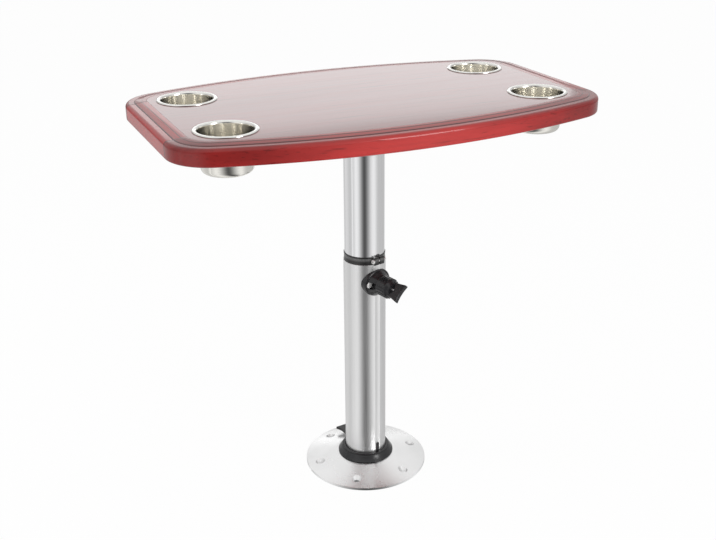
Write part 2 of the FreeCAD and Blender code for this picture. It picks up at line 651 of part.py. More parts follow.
def make_end_plug():
    """Plug in the upper tube's lower end, with a neck for the glide ring."""
    spigot = "(%s - Dims.fixed_fit)" % UPPER_BORE
    bore = "(Dims.glide_screw_radius + Dims.fixed_fit)"
    bore_top = "(%s + Dims.glide_screw_length)" % WASHER_TOP
    plug_top = "(%s + Dims.plug_length)" % UPPER_BOTTOM
    node(turned([
        (bore, WASHER_TOP),
        (NECK_RADIUS, WASHER_TOP),
        (NECK_RADIUS, UPPER_BOTTOM),
        (spigot, UPPER_BOTTOM),
        (spigot, plug_top),
        ("0", plug_top),
        ("0", bore_top),
        (bore, bore_top),
    ]), "end_plug")


def make_glide_washer():
    bore = "(Dims.glide_screw_radius + Dims.fixed_fit)"
    outer = "(%s + Dims.washer_overlap)" % NECK_RADIUS
    node(turned([
        (bore, WASHER_BOTTOM),
        (outer, WASHER_BOTTOM),
        (outer, WASHER_TOP),
        (bore, WASHER_TOP),
    ]), "glide_washer")


def make_glide_screw():
    top = "(%s + Dims.glide_screw_length)" % WASHER_TOP
    node(turned([
        ("0", GLIDE_HEAD),
        ("Dims.glide_screw_head", GLIDE_HEAD),
        ("Dims.glide_screw_head", WASHER_BOTTOM),
        ("Dims.glide_screw_radius", WASHER_BOTTOM),
        ("Dims.glide_screw_radius", top),
        ("0", top),
    ]), "glide_screw")


def make_upper_tube():
    body = doc.addObject("PartDesign::Body", "Body")
    ring = sketch_on(body, "XY_Plane", UPPER_BOTTOM)
    circle(ring, UPPER_RADIUS)
    circle(ring, UPPER_BORE)
    pad(body, ring, "%s - %s" % (PLATE_FACE, UPPER_BOTTOM))
    node(body, "upper_tube")


def make_stop_collar():
    """Split collar with two lugs; a screw across them grips the upper tube."""
    inner = "(%s + Dims.sliding_play)" % UPPER_RADIUS
    ring = rod(inner + " + Dims.collar_wall", "Dims.collar_height", z=COLLAR_BOTTOM)
    lug_outer = "(Dims.lower_radius + Dims.lug_reach)"
    lug = block(lug_outer + " - " + inner, "2 * Dims.lug_half_width", "Dims.collar_height",
                "(%s + %s) / 2" % (lug_outer, inner), "0", COLLAR_BOTTOM)
    bore = rod(inner, "Dims.collar_height", z=COLLAR_BOTTOM)
    slit = block(lug_outer, "Dims.collar_slit", "Dims.collar_height", lug_outer + " / 2 + 5", "0",
                 COLLAR_BOTTOM)
    screw_way = collar_rod("Dims.collar_screw_radius + Dims.fixed_fit",
                           "-Dims.lug_half_width", "Dims.lug_half_width")
    node(cut(joined(ring, lug), bore, slit, screw_way), "stop_collar", "Dims.knob_angle")


def collar_rod(radius, start, end):
    """A rod across the collar's lugs."""
    x = "(Dims.lower_radius + Dims.lug_reach / 2)"
    return rod(radius, "%s - (%s)" % (end, start), x, start,
               "%s + Dims.collar_height / 2" % COLLAR_BOTTOM, Y_AXIS)


def make_collar_screw():
    """Screw across the lugs and its nut."""
    lug = "Dims.lug_half_width"
    head = "Dims.collar_screw_head_height"
    shank = collar_rod("Dims.collar_screw_radius", "-" + lug, lug + " + " + head)
    cap = collar_rod("Dims.collar_screw_head", "-%s - %s" % (lug, head), "-" + lug)
    nut = collar_rod("Dims.collar_screw_head", lug, lug + " + " + head)
    thread = collar_rod("Dims.collar_screw_radius + Dims.fixed_fit", lug, lug + " + " + head)
    node(group(joined(shank, cap), cut(nut, thread)), "collar_screw", "Dims.knob_angle")


# ---------------------------------------------------------------- mount under the top

def around_plate(radius, length, z):
    """Rods on the wood screws' circle."""
    rods = []
    for index in range(int(size_of("Dims.plate_screw_count"))):
        angle = "(%d * 360 / Dims.plate_screw_count)" % index
        rods.append(rod(radius, length, "%s * cos(%s)" % (PLATE_SCREWS, angle),
                        "%s * sin(%s)" % (PLATE_SCREWS, angle), z))
    return rods


def grub_rods(radius, start, end):
    """Rods through the hub's wall, a third of a turn apart."""
    rods = []
    for angle in (30, 150, 270):
        direction = FreeCAD.Rotation(Z_AXIS, angle).multVec(X_AXIS)
        rods.append(rod(radius, "%s - %s" % (end, start), "%s * cos(%d)" % (start, angle),
                        "%s * sin(%d)" % (start, angle), "%s + Dims.grub_rise" % HUB_MOUTH, direction))
    return rods


def make_top_mount():
    """Cast mount: a plate screwed under the top, with a hub for the upper tube."""
    body = turned([
        (HUB_SOCKET, HUB_MOUTH),
        (HUB_RADIUS, HUB_MOUTH),
        (HUB_FOOT, "%s - Dims.plate_thickness" % PLATE_FACE),
        ("%s + Dims.plate_thickness" % HUB_FOOT, PLATE_FACE),
        ("Dims.plate_radius", PLATE_FACE),
        ("Dims.plate_radius", UNDERSIDE),
        ("0", UNDERSIDE),
        ("0", PLATE_FACE),
        (HUB_SOCKET, PLATE_FACE),
    ])
    holes = around_plate("Dims.plate_screw_radius + Dims.running_gap", "Dims.plate_thickness", PLATE_FACE)
    holes += grub_rods("Dims.grub_radius + Dims.fixed_fit", UPPER_RADIUS,
                       "(%s + Dims.plate_thickness)" % HUB_FOOT)
    node(cut(body, *holes), "top_mount")


def make_mount_screws():
    shanks = around_plate("Dims.plate_screw_radius",
                          "Dims.plate_thickness + Dims.plate_screw_length", PLATE_FACE)
    heads = around_plate("Dims.plate_screw_head", "Dims.plate_screw_head_height",
                         "%s - Dims.plate_screw_head_height" % PLATE_FACE)
    node(group(*[joined(shank, head) for shank, head in zip(shanks, heads)]), "mount_screws")


def make_hub_set_screws():
    node(group(*grub_rods("Dims.grub_radius", HUB_SOCKET, "(%s + Dims.grub_length)" % HUB_SOCKET)),
         "hub_set_screws")


# ---------------------------------------------------------------- wooden top

def boat(inset, bottom, height, corner):
    """A slab in the top's plan shape, pulled in all round: two arcs, two straight ends."""
    radius = "%s - (%s)" % (SIDE_RADIUS, inset)
    front = rod(radius, height, "0", SIDE_CENTRE, bottom)
    back = rod(radius, height, "0", "-" + SIDE_CENTRE, bottom)
    ends = block("2 * (Dims.top_half_length - (%s))" % inset, "4 * Dims.top_half_width", height,
                 z=bottom)
    slab = doc.addObject("Part::MultiCommon", "Slab")
    slab.Shapes = [front, back, ends]
    doc.recompute()
    return fillet_edges(slab, corner, upright_edge)


def upright_edge(edge):
    start, end = edge.Vertexes[0].Point, edge.Vertexes[-1].Point
    return abs(start.x - end.x) < 1e-6 and abs(start.y - end.y) < 1e-6 and len(edge.Vertexes) == 2


def fillet_edges(base, radius, chosen):
    fillet = doc.addObject("Part::Fillet", "Rounded")
    fillet.Base = base
    value = size_of(radius)
    fillet.Edges = [(number, value, value) for number, edge in enumerate(base.Shape.Edges, 1)
                    if chosen(edge)]
    doc.recompute()
    return fillet


def level_edge(height):
    """A test for edges that lie at one height."""
    level = size_of(height)
    return lambda edge: all(abs(vertex.Point.z - level) < 1e-6 for vertex in edge.Vertexes)


def make_rails():
    """Moulded edging: front and rear rails with the corners, and two straight end rails."""
    top, bottom, thickness = "Dims.table_height", UNDERSIDE, "Dims.top_thickness"
    whole = boat("0", bottom, "%s - Dims.step_depth - Dims.quirk_depth" % thickness, "Dims.corner_radius")
    shaped = fillet_edges(whole, "Dims.edge_round",
                          level_edge("%s - Dims.step_depth - Dims.quirk_depth" % top))
    shaped = fillet_edges(shaped, "Dims.underside_round", level_edge(bottom))
    band = boat("Dims.quirk_inset", bottom, "%s - Dims.step_depth" % thickness,
                "Dims.corner_radius - Dims.quirk_inset")
    field = boat("Dims.step_inset", bottom, thickness, "Dims.corner_radius - Dims.step_inset")
    inside = boat("Dims.rail_width", bottom, thickness, "Dims.corner_radius - Dims.rail_width")
    frame = cut(joined(shaped, band, field), inside)
    end_blocks = {}
    for side, sign in (("left", "-"), ("right", "")):
        end_blocks[side] = block("2 * Dims.rail_width", "2 * %s" % STRAIGHT_END, thickness,
                                 sign + "Dims.top_half_length", "0", bottom)
        rail = doc.addObject("Part::Common", "EndRail")
        rail.Base, rail.Tool = frame, end_blocks[side]
        node(rail, side + "_rail")
    for side, sign in (("front", "-"), ("rear", "")):
        half = block("4 * Dims.top_half_length", "2 * Dims.top_half_width", thickness, "0",
                     sign + "Dims.top_half_width", bottom)
        rail = doc.addObject("Part::Common", "SideRail")
        rail.Base, rail.Tool = cut(frame, *end_blocks.values()), half
        node(rail, side + "_rail")


CUPS = [("front_left", "-", "-"), ("front_right", "", "-"), ("rear_left", "-", ""), ("rear_right", "", "")]


def make_table_panel():
    """Glued panel with the cup holes and the pilot holes of the mount."""
    slab = boat("Dims.rail_width", UNDERSIDE, "Dims.top_thickness", "Dims.corner_radius - Dims.rail_width")
    holes = [rod("%s + Dims.cup_hole_clearance" % CUP_OUTSIDE, "Dims.top_thickness",
                 along + CUP_ALONG, across + CUP_ACROSS, UNDERSIDE)
             for _, along, across in CUPS]
    holes += around_plate("Dims.plate_screw_radius + Dims.fixed_fit", "Dims.plate_screw_length", UNDERSIDE)
    node(cut(slab, *holes), "table_panel")


def make_cups():
    """Four drawn steel cups that hang in the panel by their rims."""
    floor = "(Dims.table_height - Dims.cup_depth)"
    inner_floor = "(%s + Dims.cup_wall)" % floor
    inner_foot = "(Dims.cup_foot_radius - Dims.cup_wall)"
    rim = "(%s + Dims.cup_rim_width)" % CUP_OUTSIDE
    rim_top = "(Dims.table_height + Dims.cup_rim_thickness)"
    for name, along, across in CUPS:
        body = turned([
            ("0", floor),
            ("Dims.cup_foot_radius", floor),
            (CUP_OUTSIDE, "Dims.table_height"),
            (rim, "Dims.table_height"),
            (rim, "Dims.table_height + Dims.cup_rim_thickness / 3"),
            ("%s - Dims.cup_rim_thickness" % rim, rim_top),
            ("Dims.cup_mouth_radius", rim_top),
            (inner_foot, inner_floor),
            ("0", inner_floor),
        ])
        rounded(body, "Dims.cup_corner", lambda edge: ring_edge(edge, "Dims.cup_foot_radius", floor))
        rounded(body, "Dims.cup_corner - Dims.cup_wall",
                lambda edge: ring_edge(edge, inner_foot, inner_floor))
        body.setExpression("Placement.Base.x", along + CUP_ALONG)
        body.setExpression("Placement.Base.y", across + CUP_ACROSS)
        node(body, "cup_" + name)


make_base_flange()
make_bush_screws()
make_base_bush()
make_lock_ring()
make_tube_foot()
make_lower_tube()
make_knob_boss()
make_boss_screws()
make_threaded_insert()
make_clamp_pad()
make_clamp_stud()
make_wing_knob()
make_glide_ring()
make_end_plug()
make_glide_washer()
make_glide_screw()
make_upper_tube()
make_stop_collar()
make_collar_screw()
make_top_mount()
make_mount_screws()
make_hub_set_screws()
make_rails()
make_table_panel()
make_cups()
doc.recompute()

for item in doc.Objects:
    if "Invalid" in item.State or "Error" in item.State:
        raise RuntimeError("%s (%s) did not build: %s" % (item.Name, item.Label, item.State))
for item in nodes:
    if item.Shape.isNull() or not item.Shape.isValid() or not item.Shape.Solids:
        raise RuntimeError("%s has no valid solid" % item.Label)

os.makedirs("parts", exist_ok=True)
for item in nodes:
    item.Shape.exportStep("parts/%s.step" % item.Label)
    box = item.Shape.BoundBox
    print("%-18s solids %d volume %9.0f  x %7.1f %7.1f  y %7.1f %7.1f  z %7.1f %7.1f" % (
        item.Label, len(item.Shape.Solids), item.Shape.Volume, box.XMin, box.XMax,
        box.YMin, box.YMax, box.ZMin, box.ZMax))
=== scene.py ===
import math

import bmesh
import bpy
from mathutils import Matrix, Vector


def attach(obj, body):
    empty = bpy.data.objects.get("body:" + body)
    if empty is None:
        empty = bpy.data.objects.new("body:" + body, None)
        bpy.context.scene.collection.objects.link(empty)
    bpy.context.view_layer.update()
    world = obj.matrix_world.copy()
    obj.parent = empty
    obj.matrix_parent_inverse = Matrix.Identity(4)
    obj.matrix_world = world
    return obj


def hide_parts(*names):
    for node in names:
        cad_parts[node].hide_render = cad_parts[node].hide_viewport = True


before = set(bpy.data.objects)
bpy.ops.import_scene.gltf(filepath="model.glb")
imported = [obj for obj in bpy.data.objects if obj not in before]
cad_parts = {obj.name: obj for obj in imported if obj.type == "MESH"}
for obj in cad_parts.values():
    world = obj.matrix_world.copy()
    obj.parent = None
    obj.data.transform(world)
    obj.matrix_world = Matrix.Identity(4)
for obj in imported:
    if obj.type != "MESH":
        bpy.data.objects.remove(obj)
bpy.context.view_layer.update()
bpy.ops.object.select_all(action="DESELECT")


# ---------------------------------------------------------------- studio
# A pale floor without an edge, an even soft sky and four softboxes. Polished metal and varnish
# mirror the room as well, dark round the camera and bright beside it. None of it is a part.

camera_place = Vector((-0.5668637, -1.2415728, 0.8881162))
yaw, pitch, roll = 0.4215, 0.4007, -0.0085
ahead = Vector((math.sin(yaw) * math.cos(pitch), math.cos(yaw) * math.cos(pitch), -math.sin(pitch)))
level_right = Vector((math.cos(yaw), -math.sin(yaw), 0))
level_up = level_right.cross(ahead)
view_right = math.cos(roll) * level_right + math.sin(roll) * level_up
view_up = -math.sin(roll) * level_right + math.cos(roll) * level_up

bpy.ops.object.camera_add()
camera = bpy.context.object
camera.name = "camera"
camera.matrix_world = Matrix((
    (view_right.x, view_up.x, -ahead.x, camera_place.x),
    (view_right.y, view_up.y, -ahead.y, camera_place.y),
    (view_right.z, view_up.z, -ahead.z, camera_place.z),
    (0, 0, 0, 1)))
camera.data.sensor_fit = "HORIZONTAL"
camera.data.sensor_width = 36
camera.data.lens = 52.572
camera.data.clip_start = 0.05
camera.data.clip_end = 100
bpy.context.scene.camera = camera
bpy.context.scene.view_settings.view_transform = "Standard"


def node_at(nodes, kind, **settings):
    """A shader node with its plain settings."""
    item = nodes.new(kind)
    for name, value in settings.items():
        setattr(item, name, value)
    return item


def surroundings(nodes, links, place):
    """How bright the studio mirrors in metal and varnish, by the direction from the column."""
    parts = node_at(nodes, "ShaderNodeSeparateXYZ")
    turn = node_at(nodes, "ShaderNodeMath", operation="ARCTAN2")
    share = node_at(nodes, "ShaderNodeMapRange")
    share.inputs["From Min"].default_value = -math.pi
    share.inputs["From Max"].default_value = math.pi
    ramp = node_at(nodes, "ShaderNodeValToRGB")
    ramp.color_ramp.interpolation = "EASE"
    # Azimuth in degrees and brightness: a dark room round the camera, a softbox on its right.
    stops = ((-180, 0.70), (-158, 0.94), (-113, 0.09), (-62, 0.92), (-28, 0.58), (5, 0.56),
             (28, 0.56), (48, 0.86), (84, 0.90), (103, 0.62), (124, 0.76), (166, 0.60), (180, 0.70))
    for number, (azimuth, level) in enumerate(stops):
        position = (azimuth + 180) / 360
        stop = (ramp.color_ramp.elements[0] if number == 0 else
                ramp.color_ramp.elements.new(position))
        stop.position = position
        stop.color = (level, level, level, 1)
    links.new(place, parts.inputs["Vector"])
    links.new(parts.outputs["Y"], turn.inputs[0])
    links.new(parts.outputs["X"], turn.inputs[1])
    links.new(turn.outputs[0], share.inputs["Value"])
    links.new(share.outputs["Result"], ramp.inputs["Fac"])
    return ramp.outputs["Color"], parts.outputs["Z"]


bpy.ops.mesh.primitive_plane_add(size=40, location=(0, 0, -0.0002))
floor = bpy.context.object
floor.name = "floor"
white_floor = bpy.data.materials.new("white_floor")
white_floor.use_nodes = True
nodes, links = white_floor.node_tree.nodes, white_floor.node_tree.links
nodes.clear()
floor_out = node_at(nodes, "ShaderNodeOutputMaterial")
path = node_at(nodes, "ShaderNodeLightPath")
spot = node_at(nodes, "ShaderNodeNewGeometry")
lit_floor = node_at(nodes, "ShaderNodeBsdfDiffuse")
lit_floor.inputs["Color"].default_value = (0.9, 0.9, 0.9, 1)
white = node_at(nodes, "ShaderNodeEmission")
white.inputs["Strength"].default_value = 1.02
mirrored = node_at(nodes, "ShaderNodeEmission")
for_the_eye = node_at(nodes, "ShaderNodeMath", operation="MULTIPLY")
for_the_eye.inputs[1].default_value = 0.94
eye_mix = node_at(nodes, "ShaderNodeMixShader")
mirror_mix = node_at(nodes, "ShaderNodeMixShader")
away = node_at(nodes, "ShaderNodeVectorMath", operation="LENGTH")
far = node_at(nodes, "ShaderNodeMapRange", interpolation_type="SMOOTHSTEP")
far.inputs["From Min"].default_value = 2.3
far.inputs["From Max"].default_value = 3.8
far.inputs["To Min"].default_value = 1.0
far.inputs["To Max"].default_value = 0.35
links.new(spot.outputs["Position"], away.inputs[0])
links.new(away.outputs["Value"], far.inputs["Value"])
links.new(far.outputs["Result"], mirrored.inputs["Strength"])
links.new(surroundings(nodes, links, spot.outputs["Position"])[0], mirrored.inputs["Color"])
links.new(path.outputs["Is Camera Ray"], for_the_eye.inputs[0])
links.new(for_the_eye.outputs[0], eye_mix.inputs["Fac"])
links.new(lit_floor.outputs[0], eye_mix.inputs[1])
links.new(white.outputs[0], eye_mix.inputs[2])
links.new(path.outputs["Is Glossy Ray"], mirror_mix.inputs["Fac"])
links.new(eye_mix.outputs[0], mirror_mix.inputs[1])
links.new(mirrored.outputs[0], mirror_mix.inputs[2])
links.new(mirror_mix.outputs[0], floor_out.inputs["Surface"])
floor.data.materials.append(white_floor)

# The sky is white to the eye and an even grey light. Metal and varnish mirror the room in it,
# nowhere brighter than white, with a darker low wall behind the table.
world = bpy.data.worlds.new("soft_sky")
bpy.context.scene.world = world
world.use_nodes = True
nodes, links = world.node_tree.nodes, world.node_tree.links
nodes.clear()
sky_out = node_at(nodes, "ShaderNodeOutputWorld")
path = node_at(nodes, "ShaderNodeLightPath")
aim = node_at(nodes, "ShaderNodeTexCoord")
light = node_at(nodes, "ShaderNodeBackground")
light.inputs["Strength"].default_value = 0.5
white = node_at(nodes, "ShaderNodeBackground")
white.inputs["Color"].default_value = (1, 1, 1, 1)
mirrored = node_at(nodes, "ShaderNodeBackground")
room, height = surroundings(nodes, links, aim.outputs["Generated"])
overhead = node_at(nodes, "ShaderNodeMapRange", interpolation_type="SMOOTHSTEP")
overhead.inputs["From Min"].default_value = 0.35
overhead.inputs["From Max"].default_value = 0.75
links.new(height, overhead.inputs["Value"])
open_top = node_at(nodes, "ShaderNodeMix", data_type="RGBA")
open_top.inputs["B"].default_value = (1, 1, 1, 1)
links.new(overhead.outputs["Result"], open_top.inputs["Factor"])
links.new(room, open_top.inputs["A"])
links.new(open_top.outputs["Result"], mirrored.inputs["Color"])
low_wall_azimuth = math.radians(80)
behind = node_at(nodes, "ShaderNodeVectorMath", operation="DOT_PRODUCT")
behind.inputs[1].default_value = (math.cos(low_wall_azimuth), math.sin(low_wall_azimuth), 0)
across = node_at(nodes, "ShaderNodeMapRange", interpolation_type="SMOOTHSTEP")
across.inputs["From Min"].default_value = 0.72
across.inputs["From Max"].default_value = 0.94
low_wall = node_at(nodes, "ShaderNodeMapRange", interpolation_type="SMOOTHSTEP")
low_wall.inputs["From Min"].default_value = 0.07
low_wall.inputs["From Max"].default_value = 0.19
low_wall.inputs["To Min"].default_value = 0.4
links.new(height, low_wall.inputs["Value"])
strength = node_at(nodes, "ShaderNodeMix", data_type="FLOAT")
strength.inputs["A"].default_value = 1.0
links.new(aim.outputs["Generated"], behind.inputs[0])
links.new(behind.outputs["Value"], across.inputs["Value"])
links.new(across.outputs["Result"], strength.inputs["Factor"])
links.new(low_wall.outputs["Result"], strength.inputs["B"])
links.new(strength.outputs["Result"], mirrored.inputs["Strength"])
eye_mix = node_at(nodes, "ShaderNodeMixShader")
mirror_mix = node_at(nodes, "ShaderNodeMixShader")
links.new(path.outputs["Is Camera Ray"], eye_mix.inputs["Fac"])
links.new(light.outputs[0], eye_mix.inputs[1])
links.new(white.outputs[0], eye_mix.inputs[2])
links.new(path.outputs["Is Glossy Ray"], mirror_mix.inputs["Fac"])
links.new(eye_mix.outputs[0], mirror_mix.inputs[1])
links.new(mirrored.outputs[0], mirror_mix.inputs[2])
links.new(mirror_mix.outputs[0], sky_out.inputs["Surface"])


def soft_lamp(name, place, target, width, power):
    bpy.ops.object.light_add(type="AREA", location=place)
    lamp = bpy.context.object
    lamp.name = name
    lamp.rotation_euler = (Vector(target) - Vector(place)).to_track_quat("-Z", "Y").to_euler()
    lamp.data.shape = "SQUARE"
    lamp.data.size = width
    lamp.data.energy = power
    return lamp


fill = soft_lamp("front_softbox", (0.15, -2.6, 0.9), (0, 0, 0.5), 1.5, 16)
fill.visible_glossy = False
side = soft_lamp("left_softbox", (-2.4, 0.9, 0.7), (-0.3, 0, 0.55), 1.0, 24)
side.visible_glossy = False
soft_lamp("right_softbox", (1.1, -2.4, 1.0), (0.1, 0, 0.5), 0.9, 16)
# A wide weak softbox far behind the table: the varnish mirrors it as a pale sheen.
back = soft_lamp("back_softbox", (3.351, 7.785, 2.3), (2.793, -0.195, 2.3), 5.0, 16)
back.data.shape = "RECTANGLE"
back.data.size_y = 1.2
back.visible_camera = False


# ---------------------------------------------------------------- base casting
# A round disc cast in aluminium, turned bright on its outer face and left satin. Six countersunk
# holes take the floor bolts, and a socket in the middle takes the plastic bush.

def millimetres(*values):
    return tuple(value / 1000 for value in values)


def settle():
    """Make the piece's own place, turn and size part of its mesh."""
    bpy.ops.object.transform_apply(location=True, rotation=True, scale=True)


def face_outwards():
    """Turn every face of the mesh outwards and leave edit mode."""
    bpy.ops.mesh.select_all(action="SELECT")
    bpy.ops.mesh.normals_make_consistent(inside=False)
    bpy.ops.object.mode_set(mode="OBJECT")


def lathe(name, profile, place=(0, 0), segments=144, shut=True):
    """A ring pulled out of a circle step by step: pairs of radius and height in millimetres."""
    x, y = millimetres(*place)
    radius, height = millimetres(*profile[0])
    bpy.ops.object.select_all(action="DESELECT")
    bpy.ops.mesh.primitive_circle_add(vertices=segments, radius=radius, location=(x, y, height),
                                      fill_type="NOTHING")
    piece = bpy.context.object
    piece.name = name
    settle()
    bpy.ops.object.mode_set(mode="EDIT")
    bpy.ops.mesh.select_mode(type="VERT")
    bpy.ops.mesh.select_all(action="SELECT")
    for next_radius, next_height in [millimetres(*pair) for pair in profile[1:]]:
        bpy.ops.mesh.extrude_edges_move(
            TRANSFORM_OT_translate={"value": (0, 0, next_height - height)})
        bpy.ops.transform.resize(value=(next_radius / radius, next_radius / radius, 1),
                                 center_override=(x, y, next_height))
        radius, height = next_radius, next_height
    bpy.ops.mesh.select_all(action="SELECT")
    bpy.ops.mesh.remove_doubles(threshold=1e-6)
    if not shut:
        bpy.ops.mesh.select_all(action="DESELECT")
        bpy.ops.mesh.select_non_manifold()
        bpy.ops.mesh.edge_face_add()
        bpy.ops.mesh.select_all(action="DESELECT")
        bpy.ops.mesh.select_non_manifold()
        if any(edge.select for edge in bmesh.from_edit_mesh(piece.data).edges):
            bpy.ops.mesh.edge_face_add()
    face_outwards()
    return piece


def work_on(piece):
    bpy.ops.object.select_all(action="DESELECT")
    piece.select_set(True)
    bpy.context.view_layer.objects.active = piece


def soften(piece, width, segments=3, angle=30):
    """Round every edge sharper than the angle, width in millimetres."""
    work_on(piece)
    bpy.ops.object.modifier_add(type="BEVEL")
    bevel = piece.modifiers[-1]
    bevel.width = width / 1000
    bevel.segments = segments
    bevel.limit_method = "ANGLE"
    bevel.angle_limit = math.radians(angle)
    bpy.ops.object.modifier_apply(modifier=bevel.name)


def carve(piece, tool, operation="DIFFERENCE"):
    """Cut a tool out of a piece, or join it on, and throw the tool away."""
    work_on(piece)
    bpy.ops.object.modifier_add(type="BOOLEAN")
    boolean = piece.modifiers[-1]
    boolean.operation = operation
    boolean.solver = "EXACT"
    boolean.object = tool
    bpy.ops.object.modifier_apply(modifier=boolean.name)
    bpy.data.objects.remove(tool)


def polish_shape(piece, body, angle=32):
    """Shade the finished piece and hand it to its body."""
    work_on(piece)
    settle()
    bpy.ops.object.shade_smooth_by_angle(angle=math.radians(angle))
    bpy.ops.object.modifier_add(type="WEIGHTED_NORMAL")
    piece.modifiers[-1].keep_sharp = True
    bpy.ops.object.modifier_apply(modifier=piece.modifiers[-1].name)
    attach(piece, body)


def put(piece, paint):
    piece.data.materials.clear()
    piece.data.materials.append(paint)


def new_finish(name, colour, metallic, roughness):
    """A material with its Principled shader, ready for its pattern."""
    paint = bpy.data.materials.new(name)
    paint.use_nodes = True
    nodes, links = paint.node_tree.nodes, paint.node_tree.links
    shader = nodes["Principled BSDF"]
    shader.inputs["Base Color"].default_value = (*colour, 1)
    shader.inputs["Metallic"].default_value = metallic
    shader.inputs["Roughness"].default_value = roughness
    place = node_at(nodes, "ShaderNodeTexCoord")
    return paint, nodes, links, shader, place


def mottle(nodes, links, place, scale, stretch=(1, 1, 1), detail=4.0):
    """Noise over the piece, stretched where the tool or the grain ran."""
    mapping = node_at(nodes, "ShaderNodeMapping")
    mapping.inputs["Scale"].default_value = stretch
    noise = node_at(nodes, "ShaderNodeTexNoise")
    noise.inputs["Scale"].default_value = scale
    noise.inputs["Detail"].default_value = detail
    links.new(place.outputs["Object"], mapping.inputs["Vector"])
    links.new(mapping.outputs["Vector"], noise.inputs["Vector"])
    return noise


def spread(nodes, links, source, low, high, low_in=0.3, high_in=0.7):
    """Map a pattern to a range of values."""
    ramp = node_at(nodes, "ShaderNodeMapRange")
    ramp.inputs["From Min"].default_value = low_in
    ramp.inputs["From Max"].default_value = high_in
    ramp.inputs["To Min"].default_value = low
    ramp.inputs["To Max"].default_value = high
    links.new(source, ramp.inputs["Value"])
    return ramp.outputs["Result"]


def tint(nodes, links, source, first, second, low=0.3, high=0.7):
    """Blend two colours by a pattern."""
    ramp = node_at(nodes, "ShaderNodeValToRGB")
    ramp.color_ramp.elements[0].position = low
    ramp.color_ramp.elements[0].color = (*first, 1)
    ramp.color_ramp.elements[1].position = high
    ramp.color_ramp.elements[1].color = (*second, 1)
    links.new(source, ramp.inputs["Fac"])
    return ramp.outputs["Color"]


def relief(nodes, links, shader, source, strength, depth):
    """Bump from a pattern, depth in metres."""
    bump = node_at(nodes, "ShaderNodeBump")
    bump.inputs["Strength"].default_value = strength
    bump.inputs["Distance"].default_value = depth
    links.new(source, bump.inputs["Height"])
    links.new(bump.outputs["Normal"], shader.inputs["Normal"])
    return bump


cast_alu, nodes, links, shader, place = new_finish("cast_aluminium", (0.88, 0.88, 0.88), 1.0, 0.34)
shader.inputs["Anisotropic"].default_value = 0.35
shader.inputs["Anisotropic Rotation"].default_value = 0.25
lay = node_at(nodes, "ShaderNodeTangent", direction_type="RADIAL", axis="Z")
links.new(lay.outputs["Tangent"], shader.inputs["Tangent"])
grain = mottle(nodes, links, place, 420, detail=3)
cloud = mottle(nodes, links, place, 26, detail=3)
links.new(tint(nodes, links, cloud.outputs["Fac"], (0.79, 0.79, 0.79), (0.87, 0.87, 0.87)),
          shader.inputs["Base Color"])
links.new(spread(nodes, links, cloud.outputs["Fac"], 0.24, 0.34), shader.inputs["Roughness"])
relief(nodes, links, shader, grain.outputs["Fac"], 0.25, 0.0002)

base = lathe("base_casting", [
    (18.1, 0), (46, 0), (46, 5), (62, 5), (62, 0), (90, 0), (90, 3.4), (89.6, 3.7),
    (76, 6.9), (60, 10.4), (46, 13.4), (43, 14), (34.04, 14), (34.04, 3), (18.1, 3), (18.1, 0)])
# The bolts' countersinks start from the sloping face, 10.4 up over 47 in from the rim.
rim_radius, rim_height, bolt_radius = 90, 3.6, 74
bolt_face = rim_height + (rim_radius - bolt_radius) * 10.4 / 47
for number in range(6):
    angle = math.radians(-5 + 60 * number)
    x, y = bolt_radius * math.cos(angle), bolt_radius * math.sin(angle)
    carve(base, lathe("bolt_way", [(3.5, -2), (3.5, bolt_face - 3), (9.5, bolt_face + 3), (9.5, 20)],
                      (x, y), 44, shut=False))
soften(base, 0.35, 2, 28)
put(base, cast_alu)
polish_shape(base, "base")
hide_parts("base_flange")


# ---------------------------------------------------------------- bush and its screws
# A black moulded bush sits in the casting's socket and guides the lower tube. A slim key stands
# up from it in the tube's groove, and three steel screws from below hold it.

black_moulding, nodes, links, shader, place = new_finish(
    "black_moulding", (0.022, 0.022, 0.024), 0.0, 0.28)
skin = mottle(nodes, links, place, 900, detail=2)
flow = mottle(nodes, links, place, 40, detail=3)
links.new(tint(nodes, links, flow.outputs["Fac"], (0.010, 0.010, 0.012), (0.022, 0.022, 0.024)),
          shader.inputs["Base Color"])
links.new(spread(nodes, links, flow.outputs["Fac"], 0.16, 0.26), shader.inputs["Roughness"])
relief(nodes, links, shader, skin.outputs["Fac"], 0.12, 0.0001)

front = math.radians(-77)


def to_the_front(piece, angle=front):
    """Turn a piece made along +X to its own side of the column."""
    work_on(piece)
    piece.rotation_euler = (0, 0, angle)
    settle()


def bar(name, low, high, rounding=0.0, segments=3):
    """A block between two corners in millimetres, with its edges rounded."""
    low, high = Vector(millimetres(*low)), Vector(millimetres(*high))
    bpy.ops.object.select_all(action="DESELECT")
    bpy.ops.mesh.primitive_cube_add(size=1, location=(low + high) / 2)
    piece = bpy.context.object
    piece.name = name
    piece.scale = high - low
    settle()
    if rounding:
        soften(piece, rounding, segments)
    return piece


bush = lathe("base_bush_moulding", [
    (30.1, 3), (34, 3), (34, 24), (35.2, 24), (35.0, 24.8), (34.0, 25.5), (31.2, 25.5),
    (30.1, 24.4), (30.1, 3)])
key = bar("bush_key", (29.6, -2, 14), (30.7, 2, 39), 0.4)
to_the_front(key)
carve(bush, key, "UNION")
put(bush, black_moulding)
polish_shape(bush, "base")
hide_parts("base_bush")

bright_zinc, nodes, links, shader, place = new_finish("bright_zinc", (0.86, 0.86, 0.85), 0.5, 0.32)
wear = mottle(nodes, links, place, 1400, detail=2)
links.new(tint(nodes, links, wear.outputs["Fac"], (0.80, 0.80, 0.79), (0.92, 0.92, 0.91)),
          shader.inputs["Base Color"])
links.new(spread(nodes, links, wear.outputs["Fac"], 0.26, 0.40), shader.inputs["Roughness"])


